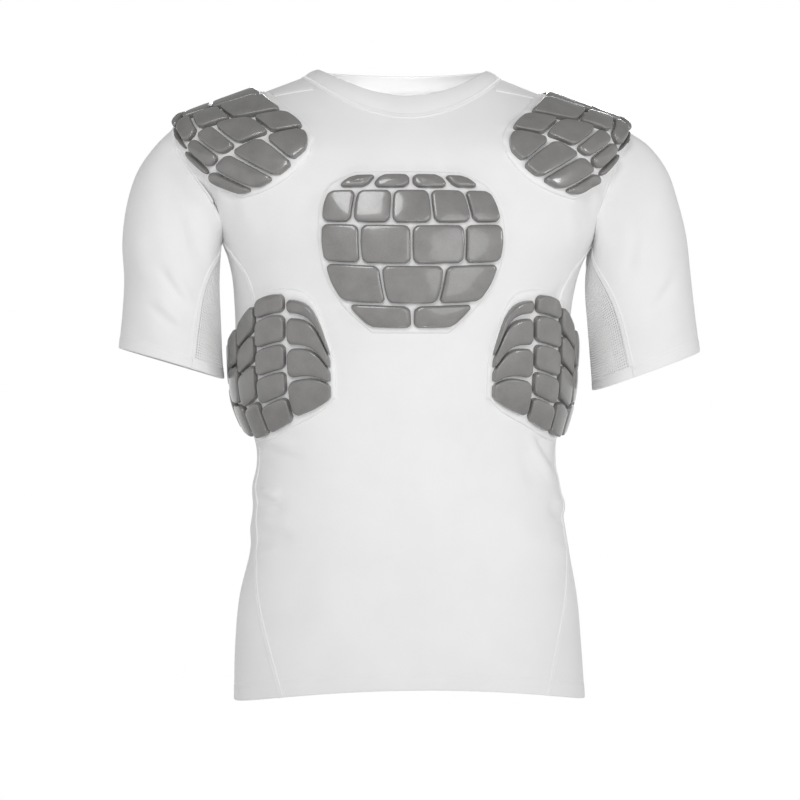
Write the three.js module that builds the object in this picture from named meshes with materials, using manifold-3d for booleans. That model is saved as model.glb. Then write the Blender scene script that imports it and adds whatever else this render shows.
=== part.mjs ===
// A padded compression shirt, worn and hollow: white stretch knit, short sleeves with
// underarm mesh, and five pads whose grey pods stand on a soft white base.
// Millimetres, +Z up, the front faces -Y, and the origin lies between the shoulders.
import * as THREE from "three";
import Module from "manifold-3d";

const wasm = await Module();
wasm.setup();

// Walls and gaps.
const CLOTH_WALL = 1.4;
const HEM_WALL = 2.4;
const COLLAR_WALL = 2.2;
const SEAM_GAP = 0.3;
const HEM_DEPTH = 18;

// Pads: the soft base lies on the cloth and carries the pods.
const PAD_LIFT = 1.4;
const PAD_WALL = 3.4;
const POD_HEIGHT = 7;
const POD_CROWN = 0.4;
const POD_SINK = 2;
const POD_BEVEL = 1.8;
const POD_CORNER = 5;
const POD_CORNER_SHARE = 0.36;
const CHANNEL = 4.5;
const PAD_MARGIN = 5.5;
const PAD_FINENESS = 0.2;

// The body of the shirt as rows from the hem (0) to the collar seam (18). Each row runs
// from the front centre to its side point and on to the back centre. Above the armpit the
// side point passes over the shoulder, beyond the armhole, to the ridge.
const ARMPIT_ROW = 10;
const TIP_ROW = 15;
const COLLAR_ROW = 18;
const BODY_COLUMNS = [
  "centreX", "frontY", "frontZ", "backY", "backZ", "leftX", "rightX", "sideY", "sideZ", "fullness",
];
const BODY_ROWS = [
  [9, -105, -665, 110, -678, -189, 207, 2, -683, 0.62],
  [8, -105, -609, 111, -621, -188, 203, 2, -625, 0.62],
  [8, -103, -555, 106, -564, -183, 198, 2, -568, 0.61],
  [8, -100, -502, 98, -508, -170, 188, 2, -511, 0.6],
  [7, -101, -450, 92, -453, -167, 180, 2, -455, 0.6],
  [5, -105, -398, 91, -399, -164, 173, 2, -400, 0.6],
  [3, -112, -345, 96, -345, -183, 186, 2, -345, 0.62],
  [2, -118, -297, 103, -296, -187, 190, 2, -295, 0.62],
  [1, -122, -253, 110, -250, -188, 191, 2, -248, 0.62],
  [1, -124, -214, 115, -211, -192, 200, 2, -204, 0.61],
  [0, -124, -182, 118, -178, -203, 217, 2, -166, 0.6],
  [0, -123, -156, 119, -149, -212, 224, 3, -147, 0.59],
  [0, -120, -133, 118, -121, -229, 234, 4, -122, 0.58],
  [0, -116, -111, 115, -95, -250, 247, 5, -94, 0.57],
  [0, -110, -91, 110, -71, -262, 257, 6, -66, 0.56],
  [0, -104, -74, 103, -48, -256, 255, 6, -41, 0.55],
  [0, -97, -60, 95, -28, -225, 224, 7, -27, 0.55],
  [0, -90, -48, 86, -11, -184, 183, 7, -12, 0.55],
  [0, -82, -35, 76, 7, -111, 111, 6, 16, 0.55],
];

// Where the seams cross each row, as a share of the way from centre to side: the side seams
// from the hem to the armpit, and the shoulder seam from the tip to the collar.
const FRONT_SIDE_SEAM = [0.515, 0.6, 0.71, 0.84, 0.88, 0.9, 0.83, 0.74, 0.69, 0.76, 1];
const BACK_SIDE_SEAM = [0.62, 0.7, 0.77, 0.82, 0.84, 0.84, 0.8, 0.78, 0.77, 0.82, 1];
const SHOULDER_SEAM = [1, 0.93, 0.83, 0.64];

// How far the armhole swings in from the side line, as a share of the way to the centre.
const ARMHOLE_FRONT_SWING = 0.21;
const ARMHOLE_BACK_SWING = 0.23;

// The free edge of the collar: centre, side and back points.
const COLLAR_EDGE = { frontY: -68, frontZ: -10, backY: 63, backZ: 25, sideX: 95, sideY: 4, sideZ: 25 };
const COLLAR_FULLNESS = 0.56;
const COLLAR_SWELL = 1.5;
const COLLAR_START = 0.01;

// The sleeves as rings from the armhole (0) to the cuff (7): the outer and inner points in
// front view, and how far the ring reaches forward and back.
const CUFF_RING = 7;
const CUFF_HEM_RING = 6.64;
const ARMHOLE_BLEND = 2.6;
const SLEEVE_MIDDLE_Y = 3;
const SLEEVE_GIRTH = 360;
const SLEEVE_COLUMNS = ["outerX", "outerZ", "innerX", "innerZ", "frontY", "backY"];
const SLEEVE_RINGS = {
  left: [
    [-256, -41, -203, -166, -46, 52],
    [-277, -62, -204, -186, -52, 58],
    [-297, -91, -205, -206, -57, 62],
    [-309, -128, -205, -227, -60, 64],
    [-314, -170, -204, -250, -60, 64],
    [-312, -212, -203, -273, -59, 62],
    [-314, -250, -202, -297, -57, 60],
    [-318, -289, -200, -323, -56, 59],
  ],
  right: [
    [255, -41, 217, -166, -46, 52],
    [280, -58, 212, -188, -52, 58],
    [301, -86, 209, -210, -57, 62],
    [313, -120, 209, -232, -60, 64],
    [323, -160, 211, -257, -60, 64],
    [328, -203, 213, -283, -59, 62],
    [333, -247, 215, -310, -57, 60],
    [339, -292, 217, -336, -56, 59],
  ],
};
// Half the angle of the underarm mesh about the sleeve's inner line, in turns, ring by ring.
const MESH_HALF_TURN = [0.03, 0.06, 0.095, 0.125, 0.15, 0.168, 0.18, 0.19];

// Each pad is a chart: rows from its front or lower end, each with the body's share and row
// at its first edge, its middle and its last edge. The cells are strips along the chart,
// with the cuts that part their pods as shares of the way across.
const PADS = {
  chest: {
    sides: ["middle"],
    columns: 6,
    steps: 9,
    chart: [
      [-0.13, 7.5, 0, 7.5, 0.12, 7.5],
      [-0.23, 8.15, 0, 8.1, 0.22, 8.15],
      [-0.3, 8.95, 0, 8.9, 0.29, 8.95],
      [-0.31, 9.95, 0, 9.95, 0.3, 9.95],
      [-0.29, 11.4, 0, 11.4, 0.28, 11.4],
      [-0.23, 12.7, 0, 12.8, 0.22, 12.7],
      [-0.14, 13.55, 0, 13.65, 0.13, 13.55],
    ],
    strips: [
      { from: 0, to: 0.2, cuts: [0.5] },
      { from: 0.2, to: 0.42, cuts: [0.34, 0.66] },
      { from: 0.42, to: 0.62, cuts: [0.24, 0.5, 0.76] },
      { from: 0.62, to: 0.81, cuts: [0.2, 0.4, 0.6, 0.8] },
      { from: 0.81, to: 1, cuts: [0.27, 0.5, 0.73] },
    ],
  },
  shoulder: {
    sides: ["left", "right"],
    columns: 5,
    steps: 16,
    chart: [
      [0.265, 14.6, 0.36, 12.95, 0.57, 12.05],
      [0.29, 15.75, 0.48, 13.85, 0.67, 12.5],
      [0.42, 16.85, 0.62, 14.7, 0.735, 13.4],
      [0.7, 17.35, 0.8, 15.45, 0.83, 14.4],
      [1, 17.42, 1, 16.1, 1, 15.12],
      [1.27, 17.35, 1.25, 16.1, 1.2, 14.95],
      [1.5, 17.05, 1.48, 15.9, 1.4, 14.75],
    ],
    strips: [
      { from: 0, to: 0.22, cuts: [0.26, 0.52, 0.77] },
      { from: 0.22, to: 0.38, cuts: [0.2, 0.42, 0.6, 0.8] },
      { from: 0.38, to: 0.53, cuts: [0.28, 0.52, 0.76] },
      { from: 0.53, to: 0.7, cuts: [0.34, 0.68] },
      { from: 0.7, to: 0.84, cuts: [0.3, 0.62] },
      { from: 0.84, to: 1, cuts: [0.5] },
    ],
  },
  rib: {
    sides: ["left", "right"],
    columns: 6,
    steps: 17,
    chart: [
      [0.27, 6.85, 0.265, 6.45, 0.27, 6.0],
      [0.36, 8.35, 0.36, 7.0, 0.36, 5.68],
      [0.5, 8.6, 0.5, 7.0, 0.5, 5.43],
      [0.66, 8.35, 0.66, 6.8, 0.66, 5.2],
      [0.82, 7.75, 0.82, 6.45, 0.82, 5.14],
      [1, 7.37, 1, 6.35, 1, 5.33],
      [1.18, 7.27, 1.18, 6.33, 1.18, 5.4],
      [1.36, 7.15, 1.36, 6.3, 1.36, 5.47],
      [1.5, 6.9, 1.5, 6.28, 1.5, 5.65],
    ],
    strips: [
      { from: 0, to: 0.23, cuts: [0.22, 0.46, 0.7] },
      { from: 0.23, to: 0.37, cuts: [0.2, 0.42, 0.62, 0.8] },
      { from: 0.37, to: 0.49, cuts: [0.28, 0.5, 0.75] },
      { from: 0.49, to: 0.6, cuts: [0.38, 0.7] },
      { from: 0.6, to: 0.71, cuts: [0.54] },
      { from: 0.71, to: 0.84, cuts: [0.45] },
      { from: 0.84, to: 1, cuts: [0.5] },
    ],
  },
};

// The largest folds in the cloth: centre, half length and half width in the body's own
// shares and rows, the slant from along the row, and the height.
const FOLDS = [
  { share: -0.93, row: 4.2, slant: -0.15, half: [0.16, 0.28], height: 3 },
  { share: -1.02, row: 3.35, slant: 0.3, half: [0.18, 0.25], height: 2.5 },
  { share: 0.75, row: 4.75, slant: -2.2, half: [0.1, 0.5], height: 2.5 },
  { share: 1.35, row: 4.1, slant: 0.4, half: [0.25, 0.3], height: 3 },
  { share: -1.4, row: 3.7, slant: -0.4, half: [0.25, 0.3], height: 3 },
];

// How finely the walls are divided.
const SIDE_STEPS = 18;
const ARMHOLE_STEPS = 7;
const SHOULDER_STEPS = 5;
const SLEEVE_STEPS = 11;
const FRONT_COLUMNS = 16;
const BACK_COLUMNS = 14;
const SIDE_COLUMNS = 5;
const MESH_COLUMNS = 6;
const COLLAR_STEPS = 3;

// Half the width of the step where a hem's double wall ends, as a share of the body's hem
// and in rings of the sleeve.
const HEM_STEP_SHARE = 0.02;
const CUFF_STEP = 0.02;

// Small steps that measure how a surface runs, in shares, rows or rings.
const NORMAL_STEP = 0.001;
const PROBE_STEP = 0.01;

// Where a sleeve's first ring and a side panel's point stop short of the armhole, in rings
// and rows.
const SLEEVE_START = 0.015;
const SIDE_PANEL_DROP = 0.06;

const KNIT = new THREE.MeshStandardMaterial({ color: 0xeeeeec, roughness: 0.85, metalness: 0 });
const MESH_KNIT = new THREE.MeshStandardMaterial({ color: 0xe6e6e4, roughness: 0.9, metalness: 0 });
const PAD_GREY = new THREE.MeshStandardMaterial({ color: 0x7e7c7a, roughness: 0.35, metalness: 0 });

const mix = THREE.MathUtils.lerp;

// A smooth value between table rows.
function valueAt(values, place) {
  const i = Math.min(Math.max(Math.floor(place), 0), values.length - 2);
  const f = place - i;
  const a = values[i];
  const b = values[i + 1];
  const before = i === 0 ? 2 * a - b : values[i - 1];
  const after = i + 2 === values.length ? 2 * b - a : values[i + 2];
  const square = 2 * before - 5 * a + 4 * b - after;
  const cube = 3 * a - before - 3 * b + after;
  return 0.5 * (2 * a + (b - before) * f + square * f * f + cube * f * f * f);
}

function column(rows, columns, name) {
  const index = columns.indexOf(name);
  return rows.map((row) => row[index]);
}

const BODY = Object.fromEntries(
  BODY_COLUMNS.map((name) => [name, column(BODY_ROWS, BODY_COLUMNS, name)]),
);

function bezier(points, t) {
  const s = 1 - t;
  const weights = [s * s * s, 3 * s * s * t, 3 * s * t * t, t * t * t];
  const sum = new THREE.Vector3();
  points.forEach((point, i) => sum.addScaledVector(point, weights[i]));
  return sum;
}

// A quarter of a ring, from its centre point to its side point.
function quarter(centre, side, fullness, t) {
  const first = new THREE.Vector3(mix(centre.x, side.x, fullness), centre.y, centre.z);
  const second = new THREE.Vector3(side.x, mix(side.y, centre.y, fullness), side.z);
  return bezier([centre, first, second, side], t);
}

// A point of the body: share runs from -2 at the back centre through -1 at the left side,
// 0 at the front centre and 1 at the right side to 2 at the back centre again.
function smoothBody(share, row) {
  const turned = share > 2 ? share - 4 : share < -2 ? share + 4 : share;
  const turn = Math.abs(turned);
  const front = turn <= 1;
  const at = (name) => valueAt(BODY[name], row);
  const centre = new THREE.Vector3(
    at("centreX"),
    at(front ? "frontY" : "backY"),
    at(front ? "frontZ" : "backZ"),
  );
  const side = new THREE.Vector3(at(turned < 0 ? "leftX" : "rightX"), at("sideY"), at("sideZ"));
  return quarter(centre, side, at("fullness"), front ? turn : 2 - turn);
}

// The unit normal of a surface, by small steps.
function normalOf(surface, a, b) {
  const across = surface(a + NORMAL_STEP, b).sub(surface(a - NORMAL_STEP, b));
  const along = surface(a, b + NORMAL_STEP).sub(surface(a, b - NORMAL_STEP));
  return across.cross(along).normalize();
}

function foldHeight(share, row) {
  let height = 0;
  for (const fold of FOLDS) {
    const along = (share - fold.share) / fold.half[0];
    const across = (row - fold.row - fold.slant * (share - fold.share)) / fold.half[1];
    height += fold.height * Math.exp(-along * along - across * across);
  }
  return height;
}

// A point of the body with its folds, moved out by the lift.
function bodyPoint(share, row, lift = 0) {
  const normal = normalOf(smoothBody, share, row);
  return smoothBody(share, row).addScaledVector(normal, foldHeight(share, row) + lift);
}

// A closed sheet between two faces given over a unit square. Facing is 1 where across
// crossed with up points out of the outer face, and a ring joins its first column to its last.
function sheetGeometry({ outer, inner, across, up, facing = 1, ring = false }) {
  const columns = ring ? across : across + 1;
  const positions = [];
  for (const face of [outer, inner]) {
    for (let j = 0; j <= up; j++) {
      for (let i = 0; i < columns; i++) positions.push(...face(i / across, j / up).toArray());
    }
  }
  const at = (face, i, j) => face * columns * (up + 1) + j * columns + (i % columns);
  const triangles = [];
  const quad = (a, b, c, d) => {
    if (facing > 0) triangles.push(a, b, c, a, c, d);
    else triangles.push(a, c, b, a, d, c);
  };
  for (let j = 0; j < up; j++) {
    for (let i = 0; i < across; i++) {
      quad(at(0, i, j), at(0, i + 1, j), at(0, i + 1, j + 1), at(0, i, j + 1));
      quad(at(1, i, j), at(1, i, j + 1), at(1, i + 1, j + 1), at(1, i + 1, j));
    }
  }
  for (let i = 0; i < across; i++) {
    quad(at(0, i, 0), at(1, i, 0), at(1, i + 1, 0), at(0, i + 1, 0));
    quad(at(0, i, up), at(0, i + 1, up), at(1, i + 1, up), at(1, i, up));
  }
  for (let j = 0; j < up && !ring; j++) {
    quad(at(0, 0, j), at(0, 0, j + 1), at(1, 0, j + 1), at(1, 0, j));
    quad(at(0, across, j), at(1, across, j), at(1, across, j + 1), at(0, across, j + 1));
  }
  const geometry = new THREE.BufferGeometry();
  geometry.setAttribute("position", new THREE.Float32BufferAttribute(positions, 3));
  geometry.setIndex(triangles);
  return geometry;
}

function namedMesh(name, geometry, material) {
  const flat = geometry.toNonIndexed();
  flat.computeVertexNormals();
  const mesh = new THREE.Mesh(flat, material);
  mesh.name = name;
  return mesh;
}

// How far a share of one row must move to leave half a seam's gap.
function gapShare(share, row) {
  const reach = smoothBody(share - PROBE_STEP, row).distanceTo(smoothBody(share, row));
  return ((SEAM_GAP / 2) * PROBE_STEP) / reach;
}

// How far a row must move to cover a distance in millimetres at one share.
function rowsFor(share, row, distance) {
  const reach = smoothBody(share, row).distanceTo(smoothBody(share, row + PROBE_STEP));
  return (distance * PROBE_STEP) / reach;
}

// The armhole is an arc from the armpit row to the tip row.
const ARMHOLE_MIDDLE_ROW = (ARMPIT_ROW + TIP_ROW) / 2;
const ARMHOLE_HALF_ROWS = (TIP_ROW - ARMPIT_ROW) / 2;

function armholeShare(row, swing) {
  const height = (row - ARMHOLE_MIDDLE_ROW) / ARMHOLE_HALF_ROWS;
  return 1 - swing * Math.sqrt(Math.max(1 - height * height, 0));
}

function armholeRow(turn) {
  return ARMHOLE_MIDDLE_ROW + ARMHOLE_HALF_ROWS * Math.cos(2 * Math.PI * turn);
}

function frontSeam(row) {
  if (row < ARMPIT_ROW) return valueAt(FRONT_SIDE_SEAM, row);
  if (row < TIP_ROW) return armholeShare(row, ARMHOLE_FRONT_SWING);
  return valueAt(SHOULDER_SEAM, row - TIP_ROW);
}

// Behind the side line the share runs on from 1 to 2.
function backSeam(row) {
  if (row < ARMPIT_ROW) return 2 - valueAt(BACK_SIDE_SEAM, row);
  if (row < TIP_ROW) return 2 - armholeShare(row, ARMHOLE_BACK_SWING);
  return frontSeam(row);
}

const HEM_ROW = rowsFor(0, 0, HEM_DEPTH);

// The wall is thicker where the hem is turned up.
const hemWall = (row) => (row < HEM_ROW ? HEM_WALL : CLOTH_WALL);

function evenSteps(first, last, steps) {
  return Array.from({ length: steps }, (_, i) => mix(first, last, (i + 1) / steps));
}

// The rows that every body panel's grid uses, so that their seams match: the turned-up hem,
// the sides, the underarm mesh's own width, the armhole and the shoulder.
const HEM_STEP_START = HEM_ROW * (1 - HEM_STEP_SHARE);
const HEM_STEP_END = HEM_ROW * (1 + HEM_STEP_SHARE);
const SIDE_TOP_ROW = ARMPIT_ROW - SIDE_PANEL_DROP;
const SIDE_LEVELS = [
  0,
  HEM_STEP_START,
  HEM_STEP_END,
  ...evenSteps(HEM_STEP_END, SIDE_TOP_ROW, SIDE_STEPS),
];
const UPPER_LEVELS = [
  ARMPIT_ROW,
  armholeRow(0.5 - MESH_HALF_TURN[0]),
  ...evenSteps(0.5 - MESH_HALF_TURN[0], 0, ARMHOLE_STEPS).map(armholeRow),
  ...evenSteps(TIP_ROW, COLLAR_ROW, SHOULDER_STEPS),
];

// A panel of the body between two seams that are functions of the row.
function bodyPanel(rows, columns, from, to) {
  const place = (a, b) => {
    const row = rows[Math.round(b * (rows.length - 1))];
    return [mix(from(row), to(row), a), row];
  };
  return sheetGeometry({
    outer: (a, b) => bodyPoint(...place(a, b)),
    inner: (a, b) => bodyPoint(...place(a, b), -hemWall(place(a, b)[1])),
    across: columns,
    up: rows.length - 1,
  });
}

// The seams that bound each panel, half a gap inside or outside of the seam line.
const insideFront = (row) => frontSeam(row) - gapShare(frontSeam(row), row);
const outsideFront = (row) => frontSeam(row) + gapShare(frontSeam(row), row);
const insideBack = (row) => backSeam(row) + gapShare(backSeam(row), row);
const outsideBack = (row) => backSeam(row) - gapShare(backSeam(row), row);

// The levels of a whole panel, with its top row just under the collar.
function panelLevels(share) {
  const levels = [...SIDE_LEVELS, ...UPPER_LEVELS];
  levels[levels.length - 1] -= rowsFor(share, COLLAR_ROW - PROBE_STEP, SEAM_GAP);
  return levels;
}

function frontPanel() {
  return bodyPanel(panelLevels(0), FRONT_COLUMNS, (row) => -insideFront(row), insideFront);
}

// The back panel's shares run on past 2, round the back to the left seam.
function backPanel() {
  return bodyPanel(panelLevels(2), BACK_COLUMNS, insideBack, (row) => 4 - insideBack(row));
}

function sidePanel(side) {
  if (side === "right") return bodyPanel(SIDE_LEVELS, SIDE_COLUMNS, outsideFront, outsideBack);
  const from = (row) => -outsideBack(row);
  const to = (row) => -outsideFront(row);
  return bodyPanel(SIDE_LEVELS, SIDE_COLUMNS, from, to);
}

// A point of the collar's ring: 0 at the seam with the body, 1 at the free edge.
function collarPoint(share, height) {
  const turned = share > 2 ? share - 4 : share < -2 ? share + 4 : share;
  const turn = Math.abs(turned);
  const front = turn <= 1;
  const edge = COLLAR_EDGE;
  const centre = new THREE.Vector3(
    0,
    front ? edge.frontY : edge.backY,
    front ? edge.frontZ : edge.backZ,
  );
  const side = new THREE.Vector3(turned < 0 ? -edge.sideX : edge.sideX, edge.sideY, edge.sideZ);
  const top = quarter(centre, side, COLLAR_FULLNESS, front ? turn : 2 - turn);
  return smoothBody(share, COLLAR_ROW).lerp(top, height);
}

// The collar's columns stand over those of the front and back panels.
function collarBand() {
  const seam = frontSeam(COLLAR_ROW);
  const shares = [
    ...evenSteps(-seam, seam, FRONT_COLUMNS),
    ...evenSteps(seam, 4 - seam, BACK_COLUMNS).map((share) => (share > 2 ? share - 4 : share)),
  ];
  const face = (lift) => (a, b) => {
    const share = shares[Math.round(a * shares.length) % shares.length];
    const swell = COLLAR_SWELL * Math.sin(Math.PI * b);
    const normal = normalOf(collarPoint, share, b);
    return collarPoint(share, mix(COLLAR_START, 1, b)).addScaledVector(normal, swell + lift);
  };
  return sheetGeometry({
    outer: face(0),
    inner: face(-COLLAR_WALL),
    across: shares.length,
    up: COLLAR_STEPS,
    ring: true,
  });
}

// The armhole's point at a turn round the sleeve, as the body's share and row.
function armholePlace(side, turn) {
  const row = armholeRow(turn);
  const share = turn <= 0.5
    ? armholeShare(row, ARMHOLE_FRONT_SWING)
    : 2 - armholeShare(row, ARMHOLE_BACK_SWING);
  return [(side === "left" ? -1 : 1) * share, row];
}

// A point of the sleeve's plain round form.
function roundSleeve(side, turn, ring) {
  const at = (name) => valueAt(column(SLEEVE_RINGS[side], SLEEVE_COLUMNS, name), ring);
  const outer = new THREE.Vector3(at("outerX"), SLEEVE_MIDDLE_Y, at("outerZ"));
  const inner = new THREE.Vector3(at("innerX"), SLEEVE_MIDDLE_Y, at("innerZ"));
  const sine = Math.sin(2 * Math.PI * turn);
  const point = inner.lerp(outer, (1 + Math.cos(2 * Math.PI * turn)) / 2);
  point.y += sine * (sine > 0 ? at("frontY") - SLEEVE_MIDDLE_Y : SLEEVE_MIDDLE_Y - at("backY"));
  return point;
}

// A point of a sleeve: turn runs from 0 at the top through the front and the underarm. The
// round form is pulled to the armhole at its seam, and less and less along the sleeve.
function sleevePoint(side, anyTurn, ring) {
  const turn = anyTurn - Math.floor(anyTurn);
  const pull = smoothBody(...armholePlace(side, turn)).sub(roundSleeve(side, turn, 0));
  const share = 1 - THREE.MathUtils.smoothstep(ring, 0, ARMHOLE_BLEND);
  return roundSleeve(side, turn, ring).addScaledVector(pull, share);
}

// At the armhole the sleeve's wall lies in line with the body's wall.
function sleeveWallPoint(side, anyTurn, ring, depth) {
  const turn = anyTurn - Math.floor(anyTurn);
  const sign = side === "left" ? -1 : 1;
  const surface = (t, r) => sleevePoint(side, t, Math.max(r, 0));
  const own = normalOf(surface, turn, ring).multiplyScalar(sign);
  const body = normalOf(smoothBody, ...armholePlace(side, turn));
  const normal = body.lerp(own, THREE.MathUtils.smoothstep(ring, 0, 1)).normalize();
  return surface(turn, ring).addScaledVector(normal, -depth);
}

const sleeveWall = (ring) => (ring > CUFF_HEM_RING ? HEM_WALL : CLOTH_WALL);

// The rings that the sleeve's and the mesh's grids share.
const SLEEVE_LEVELS = [
  SLEEVE_START,
  ...evenSteps(SLEEVE_START, CUFF_HEM_RING - CUFF_STEP, SLEEVE_STEPS),
  CUFF_HEM_RING + CUFF_STEP,
  CUFF_RING,
];

// A stretch of the sleeve between two turns that are functions of the ring.
function sleevePanel(side, columns, from, to) {
  const place = (a, b) => {
    const ring = SLEEVE_LEVELS[Math.round(b * (SLEEVE_LEVELS.length - 1))];
    return [mix(from(ring), to(ring), a), ring];
  };
  const face = (thick) => (a, b) => {
    const [turn, ring] = place(a, b);
    return sleeveWallPoint(side, turn, ring, thick(ring));
  };
  return sheetGeometry({
    outer: face(() => 0),
    inner: face(sleeveWall),
    across: columns,
    up: SLEEVE_LEVELS.length - 1,
    facing: side === "left" ? -1 : 1,
  });
}

const MESH_GAP_TURN = SEAM_GAP / 2 / SLEEVE_GIRTH;
const meshHalf = (ring) => valueAt(MESH_HALF_TURN, ring);

const sleeve = (side) =>
  sleevePanel(
    side,
    ARMHOLE_STEPS * 2,
    (ring) => -0.5 + meshHalf(ring) + MESH_GAP_TURN,
    (ring) => 0.5 - meshHalf(ring) - MESH_GAP_TURN,
  );

const sleeveMesh = (side) =>
  sleevePanel(
    side,
    MESH_COLUMNS,
    (ring) => 0.5 - meshHalf(ring) + MESH_GAP_TURN,
    (ring) => 0.5 + meshHalf(ring) - MESH_GAP_TURN,
  );

// A point over a pad's chart, lifted off the cloth. Each chart row is an arc through its
// first, middle and last place.
function padPoint(pad, side, across, along, lift) {
  const place = along * (pad.chart.length - 1);
  const at = (index) => valueAt(pad.chart.map((row) => row[index]), place);
  const arc = (first, middle, last) => {
    const bow = middle - (first + last) / 2;
    return mix(first, last, across) + 4 * bow * across * (1 - across);
  };
  const share = arc(at(0), at(2), at(4));
  const row = arc(at(1), at(3), at(5));
  return bodyPoint((side === "left" ? -1 : 1) * share, row, lift);
}

function padBase(pad, side) {
  const face = (lift) => (a, b) => padPoint(pad, side, a, b, lift);
  return sheetGeometry({
    outer: face(PAD_LIFT + PAD_WALL),
    inner: face(PAD_LIFT),
    across: pad.columns,
    up: pad.steps,
  });
}

// The corner points of each pod's cell, as shares across and along the chart.
function podCells(pad) {
  const cells = [];
  for (const strip of pad.strips) {
    const marks = [0, ...strip.cuts, 1];
    for (let i = 0; i + 1 < marks.length; i++) {
      cells.push({ left: marks[i], right: marks[i + 1], from: strip.from, to: strip.to });
    }
  }
  return cells;
}

// The cell's sides moved in by the channel, or by the margin where they meet the pad's
// edge, with each corner cut into two points.
function podOutline(pad, side, cell) {
  const middle = [(cell.left + cell.right) / 2, (cell.from + cell.to) / 2];
  const origin = padPoint(pad, side, ...middle, 0);
  const across = padPoint(pad, side, middle[0] + PROBE_STEP, middle[1], 0);
  across.sub(origin).divideScalar(PROBE_STEP);
  const along = padPoint(pad, side, middle[0], middle[1] + PROBE_STEP, 0);
  along.sub(origin).divideScalar(PROBE_STEP);
  const width = across.length();
  const skew = along.dot(across) / width;
  const height = Math.sqrt(along.lengthSq() - skew * skew);
  const toFlat = (a, b) => {
    const up = b - middle[1];
    return new THREE.Vector2((a - middle[0]) * width + up * skew, up * height);
  };
  const toChart = (p) => [
    middle[0] + (p.x - (p.y / height) * skew) / width,
    middle[1] + p.y / height,
  ];
  const corners = [
    toFlat(cell.left, cell.from),
    toFlat(cell.right, cell.from),
    toFlat(cell.right, cell.to),
    toFlat(cell.left, cell.to),
  ];
  const edgeInset = (outside) => (outside ? PAD_MARGIN : CHANNEL / 2);
  const insets = [
    edgeInset(cell.from === 0),
    edgeInset(cell.right === 1),
    edgeInset(cell.to === 1),
    edgeInset(cell.left === 0),
  ];
  return roundedInset(corners, insets).map(toChart);
}

// Moves each side of a convex outline in, then cuts each corner.
function roundedInset(corners, insets) {
  const count = corners.length;
  const lines = corners.map((corner, i) => {
    const next = corners[(i + 1) % count];
    const direction = next.clone().sub(corner).normalize();
    const inward = new THREE.Vector2(-direction.y, direction.x);
    return { start: corner.clone().addScaledVector(inward, insets[i]), direction };
  });
  const meet = (one, two) => {
    const apart = two.start.clone().sub(one.start);
    const t = apart.cross(two.direction) / one.direction.cross(two.direction);
    return one.start.clone().addScaledVector(one.direction, t);
  };
  const moved = lines.map((line, i) => meet(lines[(i + count - 1) % count], line));
  return moved.flatMap((corner, i) => {
    const before = moved[(i + count - 1) % count];
    const after = moved[(i + 1) % count];
    const cut = (to) => Math.min(POD_CORNER / corner.distanceTo(to), POD_CORNER_SHARE);
    return [corner.clone().lerp(before, cut(before)), corner.clone().lerp(after, cut(after))];
  });
}

// One pod: an outline at its foot and a smaller one at its top, closed below and above.
function podGeometry(pad, side, cell) {
  const outline = podOutline(pad, side, cell);
  const count = outline.length;
  const middle = [0, 1].map((i) => outline.reduce((sum, point) => sum + point[i], 0) / count);
  const foot = PAD_LIFT + PAD_WALL - POD_SINK;
  const top = PAD_LIFT + PAD_WALL + POD_HEIGHT;
  const size = Math.min(
    padPoint(pad, side, ...outline[0], 0).distanceTo(padPoint(pad, side, ...outline[4], 0)),
    padPoint(pad, side, ...outline[2], 0).distanceTo(padPoint(pad, side, ...outline[6], 0)),
  );
  const shrink = 1 - (2 * POD_BEVEL) / size;
  const levels = [
    { lift: foot, scale: 1 },
    { lift: top, scale: shrink },
  ];
  const positions = [];
  for (const level of levels) {
    for (const point of outline) {
      const a = mix(middle[0], point[0], level.scale);
      const b = mix(middle[1], point[1], level.scale);
      positions.push(...padPoint(pad, side, a, b, level.lift).toArray());
    }
  }
  const bottom = positions.length / 3;
  positions.push(...padPoint(pad, side, ...middle, foot).toArray());
  positions.push(...padPoint(pad, side, ...middle, top + POD_CROWN).toArray());
  const triangles = [];
  for (let i = 0; i < count; i++) {
    const next = (i + 1) % count;
    triangles.push(bottom, next, i);
    for (let level = 0; level < levels.length - 1; level++) {
      const low = level * count;
      const high = low + count;
      triangles.push(low + i, low + next, high + next, low + i, high + next, high + i);
    }
    const last = (levels.length - 1) * count;
    triangles.push(last + i, last + next, bottom + 1);
  }
  const geometry = new THREE.BufferGeometry();
  geometry.setAttribute("position", new THREE.Float32BufferAttribute(positions, 3));
  geometry.setIndex(triangles);
  return geometry;
}

function toSolid(geometry) {
  return new wasm.Manifold(
    new wasm.Mesh({
      numProp: 3,
      vertProperties: new Float32Array(geometry.getAttribute("position").array),
      triVerts: new Uint32Array(geometry.index.array),
    }),
  );
}

function toGeometry(solid) {
  const mesh = solid.getMesh();
  const geometry = new THREE.BufferGeometry();
  geometry.setAttribute("position", new THREE.BufferAttribute(mesh.vertProperties, 3));
  geometry.setIndex(new THREE.BufferAttribute(mesh.triVerts, 1));
  return geometry;
}

// A mirrored pad turns its faces round, so the left side's triangles are reversed.
function faced(geometry, side) {
  if (side !== "left") return geometry;
  const index = geometry.index.array;
  for (let i = 0; i < index.length; i += 3) {
    [index[i + 1], index[i + 2]] = [index[i + 2], index[i + 1]];
  }
  return geometry;
}

function padGeometry(pad, side) {
  let solid = toSolid(faced(padBase(pad, side), side));
  for (const cell of podCells(pad)) {
    solid = solid.add(toSolid(faced(podGeometry(pad, side, cell), side)));
  }
  return toGeometry(solid.simplify(PAD_FINENESS));
}

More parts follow.
